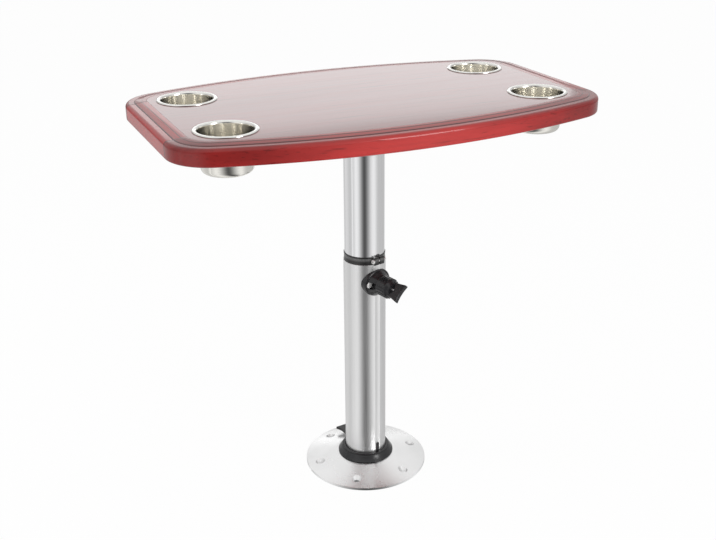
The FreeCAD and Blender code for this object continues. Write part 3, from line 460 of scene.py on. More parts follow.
def cross_recess(screw, place, width, depth, axis="Z"):
    """Sink a driver's cross into a head at a place in millimetres."""
    x, y, z = place
    half, arm = width / 2, width * 0.16
    if axis == "Z":
        blades = [((x - half, y - arm, z - depth), (x + half, y + arm, z + depth)),
                  ((x - arm, y - half, z - depth), (x + arm, y + half, z + depth))]
    else:
        blades = [((x - depth, y - half, z - arm), (x + depth, y + half, z + arm)),
                  ((x - depth, y - arm, z - half), (x + depth, y + arm, z + half))]
    for low, high in blades:
        carve(screw, bar("blade", low, high))


for number in range(3):
    angle = front + math.radians(120 * number)
    x, y = 32.05 * math.cos(angle), 32.05 * math.sin(angle)
    screw = lathe(f"bush_screw_{number + 1}", [
        (2.2, 0), (2.5, 0.3), (2.5, 1.6), (1.3, 1.6), (1.3, 10.4), (0.7, 11)], (x, y), 32, shut=False)
    cross_recess(screw, (x, y, 0), 2.6, 0.9)
    put(screw, bright_zinc)
    polish_shape(screw, "base")
    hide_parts("bush_screws")


# ---------------------------------------------------------------- lock ring
# A black moulded ring with a sloping face turns on the bush. Its flat lever reaches out over the
# casting behind the tube and flares at its end for the finger.

lock_ring = lathe("lock_ring_moulding", [
    (34.3, 14.3), (40.6, 14.3), (41, 14.7), (41, 15.6), (39.2, 17.9), (37.2, 20.9), (36.0, 22.9),
    (35.3, 23.7), (34.3, 23.7), (34.3, 14.3)])
lever = bar("lever", (37.5, -6, 14.3), (72, 6, 18.3))
work_on(lever)
bpy.ops.object.mode_set(mode="EDIT")
for position in (0.060, 0.064, 0.068):
    bpy.ops.mesh.select_all(action="SELECT")
    bpy.ops.mesh.bisect(plane_co=(position, 0, 0.016), plane_no=(1, 0, 0))
lever_mesh = bmesh.from_edit_mesh(lever.data)
for vertex in lever_mesh.verts:
    vertex.co.y *= {64: 1.12, 68: 1.36, 72: 10 / 6}.get(round(vertex.co.x * 1000), 1.0)
bmesh.update_edit_mesh(lever.data)
bpy.ops.object.mode_set(mode="OBJECT")
soften(lever, 0.7, 3)
carve(lock_ring, lever, "UNION")
to_the_front(lock_ring, math.radians(97))
put(lock_ring, black_moulding)
polish_shape(lock_ring, "lock_ring")
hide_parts("lock_ring")


# ---------------------------------------------------------------- lower tube and its foot
# A drawn aluminium tube, anodised, with fine lines along its length. A shallow groove runs down
# its front for the key, and a moulded plug closes its lower end.

def drawn_tube(name, outer, bore, bottom, top, segments=192):
    return lathe(name, [(bore, bottom), (outer - 0.3, bottom), (outer, bottom + 0.3),
                        (outer, top - 0.1), (outer - 0.1, top), (bore + 0.2, top), (bore, top - 0.2),
                        (bore, bottom)], segments=segments)


brushed_alu, nodes, links, shader, place = new_finish("brushed_aluminium", (0.89, 0.89, 0.89), 1.0, 0.34)
lines = mottle(nodes, links, place, 900, (1, 1, 0.012), 3)
links.new(tint(nodes, links, lines.outputs["Fac"], (0.86, 0.86, 0.86), (0.93, 0.93, 0.93)),
          shader.inputs["Base Color"])
links.new(spread(nodes, links, lines.outputs["Fac"], 0.31, 0.38), shader.inputs["Roughness"])
relief(nodes, links, shader, lines.outputs["Fac"], 0.08, 0.0001)

lower_tube = drawn_tube("lower_tube_drawn", 30, 28.6, 6.3, 329)
carve(lower_tube, lathe("groove_way", [(22.03, 0), (22.03, 340)], (51.33, 0), 256, shut=False))


clamp_height = 301
boss_screw_sides = (-15.3, 15.3)


def knob_side_rod(name, radius, start, end, across=0.0, segments=48):
    """A rod along the knob's axis, between two distances from the column's axis."""
    bpy.ops.object.select_all(action="DESELECT")
    bpy.ops.mesh.primitive_cylinder_add(
        vertices=segments, radius=radius / 1000, depth=(end - start) / 1000,
        location=millimetres((start + end) / 2, across, clamp_height), rotation=(0, math.pi / 2, 0))
    rod = bpy.context.object
    rod.name = name
    settle()
    return rod


carve(lower_tube, knob_side_rod("pad_way", 5.6, 20, 34))
carve(lower_tube, knob_side_rod("screw_way", 2.14, 20, 34, 15.3))
carve(lower_tube, knob_side_rod("screw_way", 2.14, 20, 34, -15.3))
to_the_front(lower_tube)
put(lower_tube, brushed_alu)
polish_shape(lower_tube, "lower_column")
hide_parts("lower_tube")

foot = lathe("tube_foot_plug", [
    (29.0, 3.3), (29.3, 3.6), (29.3, 6.3), (28.56, 6.3), (28.56, 21.8), (28.1, 22.3), (24.9, 22.3),
    (24.56, 21.9), (24.56, 7.3)], shut=False)
put(foot, black_moulding)
polish_shape(foot, "lower_column")
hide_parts("tube_foot")


# ---------------------------------------------------------------- clamp boss
# A moulded boss sits on the tube like a saddle and rises in a rounded cone to the knob. Two steel
# screws hold it through pockets beside the cone, and a brass insert in it carries the thread.

def knob_side_turning(name, steps, across=0.0, segments=96):
    """A solid turned on the knob's axis: pairs of radius and distance from the column's axis."""
    radius, reach = steps[0]
    bpy.ops.object.select_all(action="DESELECT")
    bpy.ops.mesh.primitive_circle_add(
        vertices=segments, radius=radius / 1000, rotation=(0, math.pi / 2, 0),
        location=millimetres(reach, across, clamp_height), fill_type="NGON")
    piece = bpy.context.object
    piece.name = name
    settle()
    bpy.ops.object.mode_set(mode="EDIT")
    bpy.ops.mesh.select_mode(type="VERT")
    bpy.ops.mesh.select_all(action="SELECT")
    for next_radius, next_reach in steps[1:]:
        bpy.ops.mesh.extrude_region_move(
            TRANSFORM_OT_translate={"value": ((next_reach - reach) / 1000, 0, 0)})
        growth = next_radius / radius
        bpy.ops.transform.resize(value=(1, growth, growth),
                                 center_override=millimetres(next_reach, across, clamp_height))
        radius, reach = next_radius, next_reach
    face_outwards()
    return piece


boss = knob_side_rod("clamp_boss", 20, 14, 31.4, segments=96)
work_on(boss)
boss.scale = (1, 22 / 20, 1)
settle()
soften(boss, 3.2, 5)
bell = knob_side_turning("bell", [
    (18.4, 29.8), (18.0, 31.6), (16.3, 34.4), (14.1, 37.8), (11.6, 41.6), (9.4, 44.8), (8.6, 45.8)])
carve(boss, bell, "UNION")
for side in boss_screw_sides:
    carve(boss, knob_side_rod("head_pocket", 5.2, 30.2, 60, side))
    carve(boss, knob_side_rod("shank_way", 2.14, 12, 40, side, 32))
carve(boss, lathe("tube_way", [(30.04, 250), (30.04, 350)], segments=192, shut=False))
carve(boss, knob_side_rod("insert_way", 6.44, 12, 41.8))
carve(boss, knob_side_rod("stud_way", 4.3, 36, 49))
soften(boss, 0.3, 2, 40)
to_the_front(boss)
put(boss, black_moulding)
polish_shape(boss, "lower_column", 40)
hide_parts("knob_boss")

for number, side in enumerate(boss_screw_sides):
    screw = knob_side_turning(f"boss_screw_{number + 1}", [
        (2.1, 25.9), (2.1, 30.2), (4.5, 30.2), (4.5, 31.2), (4.2, 31.9), (3.4, 32.3), (2.3, 32.5),
        (1.1, 32.6)], side, 40)
    cross_recess(screw, (32.6, side, clamp_height), 2.8, 0.9, "X")
    to_the_front(screw)
    put(screw, bright_zinc)
    polish_shape(screw, "lower_column")
    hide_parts("boss_screws")

turned_brass, nodes, links, shader, place = new_finish("turned_brass", (0.74, 0.55, 0.26), 1.0, 0.25)
marks = mottle(nodes, links, place, 900, detail=2)
links.new(tint(nodes, links, marks.outputs["Fac"], (0.66, 0.47, 0.20), (0.80, 0.62, 0.32)),
          shader.inputs["Base Color"])
put(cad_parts["threaded_insert"], turned_brass)


# ---------------------------------------------------------------- clamp knob, stud and pad
# A black wing knob with a ribbed round skirt and a flat tail that spreads to a hollow outer edge.
# A steel stud is moulded into it, and a nylon pad at the stud's end presses on the upper tube.

pale_nylon, nodes, links, shader, place = new_finish("pale_nylon", (0.72, 0.70, 0.65), 0.0, 0.45)
shader.inputs["Subsurface Weight"].default_value = 0.1
shader.inputs["Subsurface Radius"].default_value = (0.002, 0.002, 0.0015)
haze = mottle(nodes, links, place, 300, detail=3)
links.new(tint(nodes, links, haze.outputs["Fac"], (0.68, 0.66, 0.60), (0.76, 0.74, 0.69)),
          shader.inputs["Base Color"])
put(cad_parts["clamp_pad"], pale_nylon)
put(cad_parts["clamp_stud"], bright_zinc)


def pick(piece, test):
    """Select, in edit mode, the faces that pass a test of their middle, direction and corners."""
    bpy.ops.mesh.select_mode(type="FACE")
    bpy.ops.mesh.select_all(action="DESELECT")
    faces = bmesh.from_edit_mesh(piece.data)
    for face in faces.faces:
        face.select_set(bool(test(face.calc_center_median(), face.normal, len(face.verts))))
    bmesh.update_edit_mesh(piece.data)


def is_rib(middle, normal, corners):
    turn = math.degrees(math.atan2(middle.z - clamp_height / 1000, middle.y)) % 20
    return 0.0448 < middle.x < 0.0568 and abs(normal.x) < 0.5 and turn < 10


knob = knob_side_turning("wing_knob_moulding", [
    (14.0, 42.8), (14.0, 43.8), (14.0, 58.3), (13.2, 60.0), (11.4, 61.4), (9.0, 64.8)], segments=72)
work_on(knob)
bpy.ops.object.mode_set(mode="EDIT")
pick(knob, is_rib)
bpy.ops.mesh.extrude_region_shrink_fatten(TRANSFORM_OT_shrink_fatten={"value": 0.0007})
bpy.ops.object.mode_set(mode="OBJECT")
carve(knob, knob_side_rod("tip_way", 12.0, 36, 47.3, segments=72))

wing = bar("wing", (54.8, -4.5, -13.7), (82.8, 4.5, 13.7))
work_on(wing)
bpy.ops.object.mode_set(mode="EDIT")
for tenths in range(588, 828, 40):
    bpy.ops.mesh.select_all(action="SELECT")
    bpy.ops.mesh.bisect(plane_co=(tenths / 10000, 0, 0), plane_no=(1, 0, 0))
for height in (-11.3, -8.5, -5.5, -2.7, 0, 2.7, 5.5, 8.5, 11.3):
    bpy.ops.mesh.select_all(action="SELECT")
    bpy.ops.mesh.bisect(plane_co=(0.07, 0, height / 1000), plane_no=(0, 0, 1))
wing_start, wing_length, hollow_radius, hollow_depth = 0.0548, 0.028, 0.052, 0.00184
wing_mesh = bmesh.from_edit_mesh(wing.data)
for vertex in wing_mesh.verts:
    along = (vertex.co.x - wing_start) / wing_length
    vertex.co.z *= 0.80 + 0.20 * min(1, abs(along - 0.38) / 0.62) ** 1.3
    vertex.co.y *= 1.0 - 0.30 * along
    hollow = hollow_radius - math.sqrt(hollow_radius ** 2 - vertex.co.z ** 2)
    vertex.co.x -= (hollow_depth - hollow) * max(0, along) ** 2
bmesh.update_edit_mesh(wing.data)
bpy.ops.object.mode_set(mode="OBJECT")
soften(wing, 1.1, 4, 40)
work_on(wing)
wing.rotation_euler = (math.radians(-43), 0, 0)
wing.location = (0, 0, clamp_height / 1000)
settle()
carve(knob, wing, "UNION")
carve(knob, knob_side_rod("stud_way", 4.04, 46, 68.8))
soften(knob, 0.25, 2, 45)
to_the_front(knob)
put(knob, black_moulding)
polish_shape(knob, "clamp_knob", 40)
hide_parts("wing_knob")


# ---------------------------------------------------------------- glide at the upper tube's end
# A nylon plug closes the upper tube, a nylon ring turns on its neck inside the lower tube, and a
# steel washer and screw keep it there.

glide = lathe("glide_ring_turned", [
    (18.1, 35.7), (28.0, 35.7), (28.5, 36.2), (28.5, 43.2), (28.0, 43.7), (18.1, 43.7), (18.1, 35.7)])
put(glide, pale_nylon)
polish_shape(glide, "glide")
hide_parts("glide_ring")

plug = lathe("end_plug_moulding", [
    (3.04, 53.4), (3.04, 35.4), (18, 35.4), (18, 44), (26.96, 44), (26.96, 63.2), (26.2, 64)],
    shut=False)
put(plug, pale_nylon)
polish_shape(plug, "upper_column")
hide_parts("end_plug")

washer = lathe("glide_washer_punched", [
    (3.04, 32.9), (22.6, 32.9), (23, 33.3), (23, 35.0), (22.6, 35.4), (3.04, 35.4), (3.04, 32.9)])
put(washer, bright_zinc)
polish_shape(washer, "upper_column")
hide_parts("glide_washer")

screw = lathe("glide_cap_screw", [
    (4.7, 28.9), (5.2, 29.4), (5.2, 32.9), (3, 32.9), (3, 52.9), (2.4, 53.4)], segments=48, shut=False)
carve(screw, lathe("hex_way", [(2.9, 27), (2.9, 31)], segments=6, shut=False))
put(screw, bright_zinc)
polish_shape(screw, "upper_column")
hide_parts("glide_screw")


# ---------------------------------------------------------------- upper tube
# The same kind of tube in a smaller size, polished and anodised, so that it mirrors its
# surroundings along its whole height.

bright_alu, nodes, links, shader, place = new_finish("bright_aluminium", (0.88, 0.88, 0.89), 1.0, 0.12)
lines = mottle(nodes, links, place, 700, (1, 1, 0.01), 3)
links.new(tint(nodes, links, lines.outputs["Fac"], (0.85, 0.85, 0.86), (0.91, 0.91, 0.92)),
          shader.inputs["Base Color"])
links.new(spread(nodes, links, lines.outputs["Fac"], 0.08, 0.13), shader.inputs["Roughness"])

upper_tube = drawn_tube("upper_tube_drawn", 28.5, 27, 44, 532)
put(upper_tube, bright_alu)
polish_shape(upper_tube, "upper_column")
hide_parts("upper_tube")


# ---------------------------------------------------------------- stop collar
# A thin black collar grips the upper tube just above the lower one. It is split at the front, and
# a small screw and nut pull its two lugs together.

dark_collar, nodes, links, shader, place = new_finish("dark_collar", (0.05, 0.05, 0.05), 0.0, 0.26)
scuff = mottle(nodes, links, place, 500, detail=4)
# Painted highlight: a lighter band on the upper part of the collar's waist, just below the top rim, as
# if it caught the light; above and below it the colour stays dark.
collar_height = node_at(nodes, "ShaderNodeSeparateXYZ")
links.new(place.outputs["Object"], collar_height.inputs["Vector"])
highlight_rise = spread(nodes, links, collar_height.outputs["Z"], 0.0, 1.0, 0.3330, 0.3362)
highlight_fall = spread(nodes, links, collar_height.outputs["Z"], 1.0, 0.0, 0.3378, 0.3386)
pale = node_at(nodes, "ShaderNodeMath", operation="MULTIPLY")
links.new(highlight_rise, pale.inputs[0])
links.new(highlight_fall, pale.inputs[1])
painted_highlight_share = node_at(nodes, "ShaderNodeMath", operation="MULTIPLY")
links.new(pale.outputs[0], painted_highlight_share.inputs[0])
links.new(spread(nodes, links, scuff.outputs["Fac"], 0.7, 1.0), painted_highlight_share.inputs[1])
links.new(tint(nodes, links, painted_highlight_share.outputs[0], (0.022, 0.022, 0.022), (0.15, 0.15, 0.15), 0.0, 1.0),
          shader.inputs["Base Color"])
links.new(spread(nodes, links, scuff.outputs["Fac"], 0.20, 0.32), shader.inputs["Roughness"])

collar = lathe("stop_collar_moulding", [
    (28.6, 329.3), (29.1, 329.3), (29.3, 329.5), (29.3, 331.2), (29.1, 331.6), (29.1, 338.0),
    (29.3, 338.4), (29.3, 340.1), (29.1, 340.3), (28.6, 340.3), (28.6, 329.3)], segments=160)
carve(collar, bar("lugs", (28.9, -8.5, 329.3), (34.5, 8.5, 340.3), 0.9, 3), "UNION")
carve(collar, lathe("collar_bore", [(28.58, 320), (28.58, 350)], segments=160, shut=False))
carve(collar, bar("slit", (20, -1, 320), (40, 1, 350)))
soften(collar, 0.2, 2, 40)
to_the_front(collar)
put(collar, dark_collar)
polish_shape(collar, "stop_collar")
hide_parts("stop_collar")

pinch_screw = lathe("collar_pinch_screw", [
    (2.5, -10.9), (3.1, -10.3), (3.1, -8.5), (1.6, -8.5), (1.6, 10.9)], segments=36, shut=False)
pinch_nut = lathe("collar_pinch_nut", [
    (1.7, 8.5), (2.8, 8.5), (3.1, 8.8), (3.1, 10.6), (2.8, 10.9), (1.7, 10.9), (1.7, 8.5)], segments=6)
carve(pinch_screw, lathe("hex_way", [(1.5, -12), (1.5, -9.6)], segments=6, shut=False))
for piece in (pinch_screw, pinch_nut):
    work_on(piece)
    piece.rotation_euler = (-math.pi / 2, 0, 0)
    piece.location = millimetres(32.25, 0, 334.8)
    settle()
    to_the_front(piece)
    put(piece, bright_zinc)
    polish_shape(piece, "stop_collar")
    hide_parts("collar_screw")


# ---------------------------------------------------------------- mount under the top
# A cast aluminium plate with a flared hub for the upper tube. Six wood screws hold it under the
# panel, and three set screws in the hub bear on the tube.

mount = lathe("top_mount_casting", [
    (28.54, 532), (28.54, 487.4), (28.9, 487), (33.4, 487), (34.04, 487.7), (38.04, 525.5),
    (39.6, 529.4), (43.04, 532), (79, 532), (80, 533), (80, 537)], shut=False)
for number in range(6):
    angle = math.radians(60 * number)
    x, y = 66 * math.cos(angle), 66 * math.sin(angle)
    carve(mount, lathe("screw_way", [(2.24, 525), (2.24, 540)], (x, y), 32, shut=False))
for turn in (30, 150, 270):
    grub_way = lathe("grub_way", [(3.04, 28), (3.04, 46)], segments=32, shut=False)
    grub = lathe(f"hub_set_screw_{turn}", [(2.2, 28.54), (3, 29.3), (3, 33.2), (2.7, 33.54)],
                 segments=32, shut=False)
    carve(grub, lathe("hex_way", [(1.6, 31.6), (1.6, 36)], segments=6, shut=False))
    for piece in (grub_way, grub):
        work_on(piece)
        piece.rotation_euler = (0, math.pi / 2, math.radians(turn))
        piece.location = (0, 0, 0.502)
        settle()
    carve(mount, grub_way)
    put(grub, bright_zinc)
    polish_shape(grub, "upper_column")
    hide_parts("hub_set_screws")
soften(mount, 0.4, 2, 50)
put(mount, cast_alu)
polish_shape(mount, "upper_column")
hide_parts("top_mount")

for number in range(6):
    angle = math.radians(60 * number)
    x, y = 66 * math.cos(angle), 66 * math.sin(angle)
    screw = lathe(f"mount_wood_screw_{number + 1}", [
        (2.8, 529.4), (3.8, 529.9), (4.2, 530.8), (4.2, 532), (2.2, 532), (2.2, 549), (0.6, 551)],
        (x, y), 36, shut=False)
    cross_recess(screw, (x, y, 529.4), 4.4, 1.4)
    put(screw, bright_zinc)
    polish_shape(screw, "upper_column")
    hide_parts("mount_screws")


# ---------------------------------------------------------------- wooden top
# A boat-shaped panel inside four moulded mahogany rails, stained red and varnished to a gloss.
# Outside the field the rails drop by two low slopes with a band between them, and end in a round.

def varnished(name, grain_turn, deep, pale, figure_share, gloss, end_shade):
    """Red stained wood under a hard clear gloss, with its grain turned by an angle in degrees."""
    paint, nodes, links, shader, place = new_finish(name, (0.30, 0.045, 0.035), 0.0, 0.42)
    turned = node_at(nodes, "ShaderNodeMapping")
    turned.inputs["Rotation"].default_value = (0, 0, math.radians(grain_turn))
    links.new(place.outputs["Object"], turned.inputs["Vector"])
    layers = []
    for scale, stretch, detail in ((7, (0.22, 1, 1), 5), (60, (0.045, 1, 1), 6), (420, (0.03, 1, 1), 3)):
        squeezed = node_at(nodes, "ShaderNodeMapping")
        squeezed.inputs["Scale"].default_value = stretch
        noise = node_at(nodes, "ShaderNodeTexNoise")
        noise.inputs["Scale"].default_value = scale
        noise.inputs["Detail"].default_value = detail
        noise.inputs["Distortion"].default_value = 0.35
        links.new(turned.outputs["Vector"], squeezed.inputs["Vector"])
        links.new(squeezed.outputs["Vector"], noise.inputs["Vector"])
        layers.append(noise.outputs["Fac"])
    figure, bands, pores = layers
    broad = tint(nodes, links, figure, deep, pale, 0.34, 0.68)
    fine = tint(nodes, links, bands, (0.70, 0.70, 0.70), (1.0, 1.0, 1.0), 0.36, 0.60)
    pits = tint(nodes, links, pores, (0.45, 0.40, 0.40), (1.0, 1.0, 1.0), 0.30, 0.42)
    with_bands = node_at(nodes, "ShaderNodeMix", data_type="RGBA", blend_type="MULTIPLY")
    with_bands.inputs["Factor"].default_value = figure_share
    links.new(broad, with_bands.inputs["A"])
    links.new(fine, with_bands.inputs["B"])
    with_pits = node_at(nodes, "ShaderNodeMix", data_type="RGBA", blend_type="MULTIPLY")
    with_pits.inputs["Factor"].default_value = 0.65
    links.new(with_bands.outputs["Result"], with_pits.inputs["A"])
    links.new(pits, with_pits.inputs["B"])
    # Painted shade: the small steep steps of the moulding are darkened, as the shade in their creases.
    spot = node_at(nodes, "ShaderNodeNewGeometry")
    facing = node_at(nodes, "ShaderNodeSeparateXYZ")
    height = node_at(nodes, "ShaderNodeSeparateXYZ")
    steep = node_at(nodes, "ShaderNodeMath", operation="LESS_THAN")
    steep.inputs[1].default_value = 0.9
    raised = node_at(nodes, "ShaderNodeMath", operation="GREATER_THAN")
    raised.inputs[1].default_value = 0.55895
    painted_step_shade = node_at(nodes, "ShaderNodeMath", operation="MULTIPLY")
    step_shade_and_glue_tint = node_at(nodes, "ShaderNodeMix", data_type="RGBA")
    step_shade_and_glue_tint.inputs["B"].default_value = (0.10, 0.008, 0.009, 1)
    links.new(spot.outputs["True Normal"], facing.inputs["Vector"])
    links.new(place.outputs["Object"], height.inputs["Vector"])
    links.new(facing.outputs["Z"], steep.inputs[0])
    links.new(height.outputs["Z"], raised.inputs[0])
    links.new(steep.outputs[0], painted_step_shade.inputs[0])
    links.new(raised.outputs[0], painted_step_shade.inputs[1])
    # The glue lines of the end rails show as dark hairlines.
    folded = node_at(nodes, "ShaderNodeVectorMath", operation="ABSOLUTE")
    sides = node_at(nodes, "ShaderNodeSeparateXYZ")
    glue = node_at(nodes, "ShaderNodeMath", operation="COMPARE")
    glue.inputs[1].default_value = 0.09326
    glue.inputs[2].default_value = 0.0007
    on_rail = node_at(nodes, "ShaderNodeMath", operation="GREATER_THAN")
    on_rail.inputs[1].default_value = 0.2672
    glue_line = node_at(nodes, "ShaderNodeMath", operation="MULTIPLY")
    # The painted shade on the moulding's steps and the real glue hairlines darken the wood together
    # here.
    step_shade_and_glue = node_at(nodes, "ShaderNodeMath", operation="MAXIMUM")
    links.new(place.outputs["Object"], folded.inputs[0])
    links.new(folded.outputs["Vector"], sides.inputs["Vector"])
    links.new(sides.outputs["Y"], glue.inputs[0])
    links.new(sides.outputs["X"], on_rail.inputs[0])
    links.new(glue.outputs[0], glue_line.inputs[0])
    links.new(on_rail.outputs[0], glue_line.inputs[1])
    links.new(painted_step_shade.outputs[0], step_shade_and_glue.inputs[0])
    links.new(glue_line.outputs[0], step_shade_and_glue.inputs[1])
    # Painted shade: the long rails darken towards the corners.
    painted_end_shade = spread(nodes, links, sides.outputs["X"], 0.0, end_shade, 0.11, 0.27)
    end_shade_mix = node_at(nodes, "ShaderNodeMix", data_type="RGBA", blend_type="MULTIPLY")
    end_shade_mix.inputs["B"].default_value = (0, 0, 0, 1)
    links.new(painted_end_shade, end_shade_mix.inputs["Factor"])
    links.new(with_pits.outputs["Result"], end_shade_mix.inputs["A"])
    links.new(step_shade_and_glue.outputs[0], step_shade_and_glue_tint.inputs["Factor"])
    links.new(end_shade_mix.outputs["Result"], step_shade_and_glue_tint.inputs["A"])
    links.new(step_shade_and_glue_tint.outputs["Result"], shader.inputs["Base Color"])
    links.new(spread(nodes, links, bands, 0.38, 0.44), shader.inputs["Roughness"])
    shader.inputs["Specular IOR Level"].default_value = 0.2
    shader.inputs["Coat Weight"].default_value = gloss
    shader.inputs["Coat Roughness"].default_value = 0.07
    shader.inputs["Coat IOR"].default_value = 1.5
    return paint


rail_tones = (0.36, 0.012, 0.013), (0.66, 0.034, 0.029)
wood_along = varnished("varnished_rail", 0, *rail_tones, 0.7, 0.75, 0.45)
wood_across = varnished("varnished_end_rail", 90, *rail_tones, 0.7, 0.75, 0.0)
wood_panel = varnished("varnished_panel", 0, (0.21, 0.020, 0.018), (0.29, 0.030, 0.026), 0.35,
                       1.0, 0.0)

# Centre of the long sides' arc, and centre of the corner arcs.
side_centre = -708.25
corner_place = (235.0, 93.2617)
lean = math.atan2(corner_place[0], corner_place[1] - side_centre)

bpy.ops.object.select_all(action="DESELECT")
bpy.ops.mesh.primitive_plane_add(size=0.0001, location=(0.295, -corner_place[1] / 1000, 0.537))
slab = bpy.context.object
slab.name = "slab"
settle()
bpy.ops.object.mode_set(mode="EDIT")
bpy.ops.mesh.select_mode(type="VERT")
bpy.ops.mesh.select_all(action="SELECT")
bpy.ops.mesh.merge(type="CENTER")
for half_turn in (1, -1):
    for _ in range(12):
        bpy.ops.mesh.extrude_region_move(
            TRANSFORM_OT_translate={"value": (0, half_turn * corner_place[1] / 6000, 0)})
    corner = [half_turn * value / 1000 for value in corner_place]
    bpy.ops.mesh.spin(steps=18, dupli=False, angle=-(math.pi / 2 - lean),
                      center=(corner[0], corner[1], 0.537), axis=(0, 0, 1))
    bpy.ops.mesh.spin(steps=72, dupli=False, angle=-2 * lean,
                      center=(0, half_turn * side_centre / 1000, 0.537), axis=(0, 0, 1))
    bpy.ops.mesh.spin(steps=18, dupli=False, angle=-(math.pi / 2 - lean),
                      center=(-corner[0], corner[1], 0.537), axis=(0, 0, 1))
bpy.ops.mesh.select_all(action="SELECT")
bpy.ops.mesh.remove_doubles(threshold=2e-5)
bpy.ops.mesh.edge_face_add()


def pick_rim(piece, height):
    """Select, in edit mode, the edges at a height between a level face and a side."""
    bpy.ops.mesh.select_mode(type="EDGE")
    bpy.ops.mesh.select_all(action="DESELECT")
    edges = bmesh.from_edit_mesh(piece.data)
    for edge in edges.edges:
        level = all(abs(vertex.co.z - height) < 1e-6 for vertex in edge.verts)
        edge.select_set(level and any(abs(face.normal.z) < 0.5 for face in edge.link_faces))
    bmesh.update_edit_mesh(piece.data)


bpy.ops.mesh.select_all(action="SELECT")
bpy.ops.mesh.extrude_region_move(TRANSFORM_OT_translate={"value": (0, 0, 0.022)})
bpy.ops.mesh.select_all(action="SELECT")
bpy.ops.mesh.normals_make_consistent(inside=False)
pick_rim(slab, 0.559)
bpy.ops.mesh.bevel(offset=0.0055, segments=7, affect="EDGES")
pick_rim(slab, 0.537)
bpy.ops.mesh.bevel(offset=0.0025, segments=4, affect="EDGES")


def is_top(middle, normal, corners):
    return normal.z > 0.9 and corners > 50


for inset, rise in ((6.0, 0), (1.4, 0.9), (7.7, 0.6), (0.9, 0.5), (6.5, 0)):
    pick(slab, is_top)
    bpy.ops.mesh.inset(thickness=inset / 1000, depth=rise / 1000, use_even_offset=True)
pick(slab, lambda middle, normal, corners: normal.z < -0.9 and corners > 50)
bpy.ops.mesh.inset(thickness=0.0255, use_even_offset=True)
bpy.ops.object.mode_set(mode="OBJECT")

work_on(slab)
bpy.ops.object.duplicate()
panel = bpy.context.object
panel.name = "panel_board"
bpy.ops.object.mode_set(mode="EDIT")
pick(panel, lambda middle, normal, corners: not is_top(middle, normal, corners))
bpy.ops.mesh.delete(type="FACE")
bpy.ops.mesh.select_all(action="SELECT")
bpy.ops.mesh.extrude_region_move(TRANSFORM_OT_translate={"value": (0, 0, -0.024)})
face_outwards()
for x in (-217, 217):
    for y in (-83, 83):
        carve(panel, lathe("cup_way", [(35.4, 530), (35.4, 570)], (x, y), 128, shut=False))
for number in range(6):
    angle = math.radians(60 * number)
    carve(panel, lathe("pilot_hole", [(2.24, 530), (2.24, 551.04)],
                       (66 * math.cos(angle), 66 * math.sin(angle)), 24, shut=False))
soften(panel, 0.25, 2, 50)
put(panel, wood_panel)
polish_shape(panel, "upper_column")
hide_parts("table_panel")

work_on(slab)
bpy.ops.object.mode_set(mode="EDIT")
pick(slab, lambda middle, normal, corners: abs(normal.z) > 0.9 and corners > 50)
bpy.ops.mesh.bridge_edge_loops()
face_outwards()

seam = corner_place[1] / 1000
for name, x_side, y_side in (("left_rail", -1, 0), ("right_rail", 1, 0), ("front_rail", 0, -1),
                             ("rear_rail", 0, 1)):
    work_on(slab)
    bpy.ops.object.duplicate()
    rail = bpy.context.object
    rail.name = name + "_moulded"
    bpy.ops.object.mode_set(mode="EDIT")
    if x_side:
        cuts = [((0, 0, 0), (-x_side, 0, 0)), ((0, seam, 0), (0, 1, 0)), ((0, -seam, 0), (0, -1, 0))]
    else:
        cuts = [((0, y_side * seam, 0), (0, -y_side, 0))]
    for place_of_cut, away in cuts:
        bpy.ops.mesh.select_all(action="SELECT")
        bpy.ops.mesh.bisect(plane_co=place_of_cut, plane_no=away, clear_outer=True)
    for end in (-1, 1):
        bpy.ops.mesh.select_mode(type="EDGE")
        bpy.ops.mesh.select_all(action="DESELECT")
        rail_mesh = bmesh.from_edit_mesh(rail.data)
        for edge in rail_mesh.edges:
            middle = (edge.verts[0].co + edge.verts[1].co) / 2
            edge.select_set(edge.is_boundary and (middle.y if x_side else middle.x) * end > 0)
        bmesh.update_edit_mesh(rail.data)
        bpy.ops.mesh.edge_face_add()
    face_outwards()
    soften(rail, 0.4, 2, 55)
    put(rail, wood_across if x_side else wood_along)
    polish_shape(rail, "upper_column")
    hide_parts(name)
bpy.data.objects.remove(slab)


# ---------------------------------------------------------------- cup holders
# Four cups drawn from stainless sheet and polished. Each hangs in its hole by a rolled rim that
# lies on the panel.

cup_steel, nodes, links, shader, place = new_finish("cup_steel", (0.90, 0.87, 0.82), 1.0, 0.08)
shader.inputs["Anisotropic"].default_value = 0.3
shader.inputs["Anisotropic Rotation"].default_value = 0.25
lay = node_at(nodes, "ShaderNodeTangent", direction_type="RADIAL", axis="Z")
links.new(lay.outputs["Tangent"], shader.inputs["Tangent"])
folded = node_at(nodes, "ShaderNodeVectorMath", operation="ABSOLUTE")
centred = node_at(nodes, "ShaderNodeVectorMath", operation="SUBTRACT")
centred.inputs[1].default_value = (0.217, 0.083, 0)
split = node_at(nodes, "ShaderNodeSeparateXYZ")
flat = node_at(nodes, "ShaderNodeCombineXYZ")
radial = node_at(nodes, "ShaderNodeVectorMath", operation="LENGTH")
rings = node_at(nodes, "ShaderNodeCombineXYZ")
links.new(place.outputs["Object"], folded.inputs[0])
links.new(folded.outputs["Vector"], centred.inputs[0])
links.new(centred.outputs["Vector"], split.inputs["Vector"])
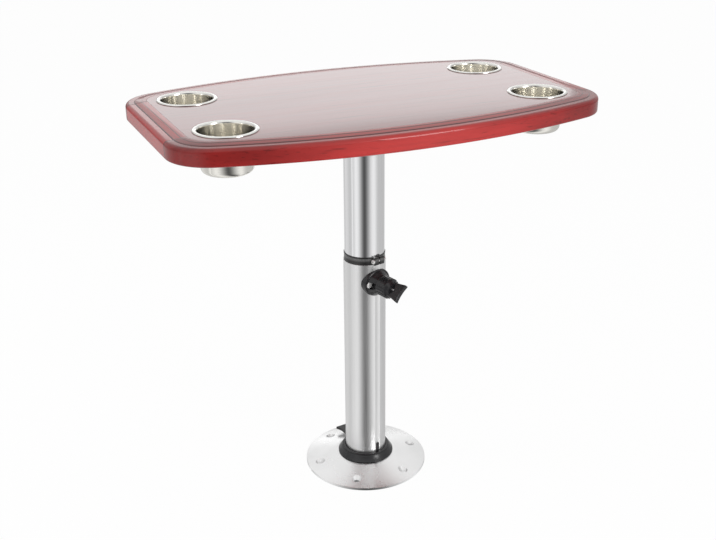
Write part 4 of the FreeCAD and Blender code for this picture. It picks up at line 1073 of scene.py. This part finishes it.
links.new(split.outputs["X"], flat.inputs["X"])
links.new(split.outputs["Y"], flat.inputs["Y"])
links.new(flat.outputs["Vector"], radial.inputs[0])
links.new(radial.outputs["Value"], rings.inputs["X"])
links.new(split.outputs["Z"], rings.inputs["Z"])
place_height = node_at(nodes, "ShaderNodeSeparateXYZ")
links.new(place.outputs["Object"], place_height.inputs["Vector"])
polish = node_at(nodes, "ShaderNodeTexNoise")
polish.inputs["Scale"].default_value = 1100
polish.inputs["Detail"].default_value = 2
links.new(rings.outputs["Vector"], polish.inputs["Vector"])
on_rim = spread(nodes, links, place_height.outputs["Z"], 0.0, 1.0, 0.5604, 0.5612)
rim_tone = node_at(nodes, "ShaderNodeMix", data_type="RGBA")
rim_tone.inputs["B"].default_value = (0.80, 0.79, 0.76, 1)
links.new(on_rim, rim_tone.inputs["Factor"])
links.new(tint(nodes, links, polish.outputs["Fac"], (0.86, 0.84, 0.78), (0.93, 0.91, 0.86)),
          rim_tone.inputs["A"])
links.new(rim_tone.outputs["Result"], shader.inputs["Base Color"])
links.new(spread(nodes, links, polish.outputs["Fac"], 0.13, 0.18), shader.inputs["Roughness"])

cup_profile = [(25.5 + 7 * math.sin(math.radians(turn)), 516.5 - 7 * math.cos(math.radians(turn)))
               for turn in range(0, 87, 12)]
cup_profile += [(32.8, 521), (34.95, 560.0), (35, 561), (39.6, 561), (40, 561.35), (39.85, 561.9),
                (39.2, 562.35), (38.2, 562.58), (36.6, 562.6), (35.5, 562.35), (34.6, 561.7),
                (34.1, 560.7), (33.95, 559), (31.8, 521)]
cup_profile += [(25.5 + 6 * math.sin(math.radians(turn)), 516.5 - 6 * math.cos(math.radians(turn)))
                for turn in range(84, -1, -12)]
for name, x, y in (("cup_front_left", -217, -83), ("cup_front_right", 217, -83),
                   ("cup_rear_left", -217, 83), ("cup_rear_right", 217, 83)):
    cup = lathe(name + "_drawn", cup_profile, (x, y), 128, shut=False)
    put(cup, cup_steel)
    polish_shape(cup, "upper_column", 40)
    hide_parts(name)
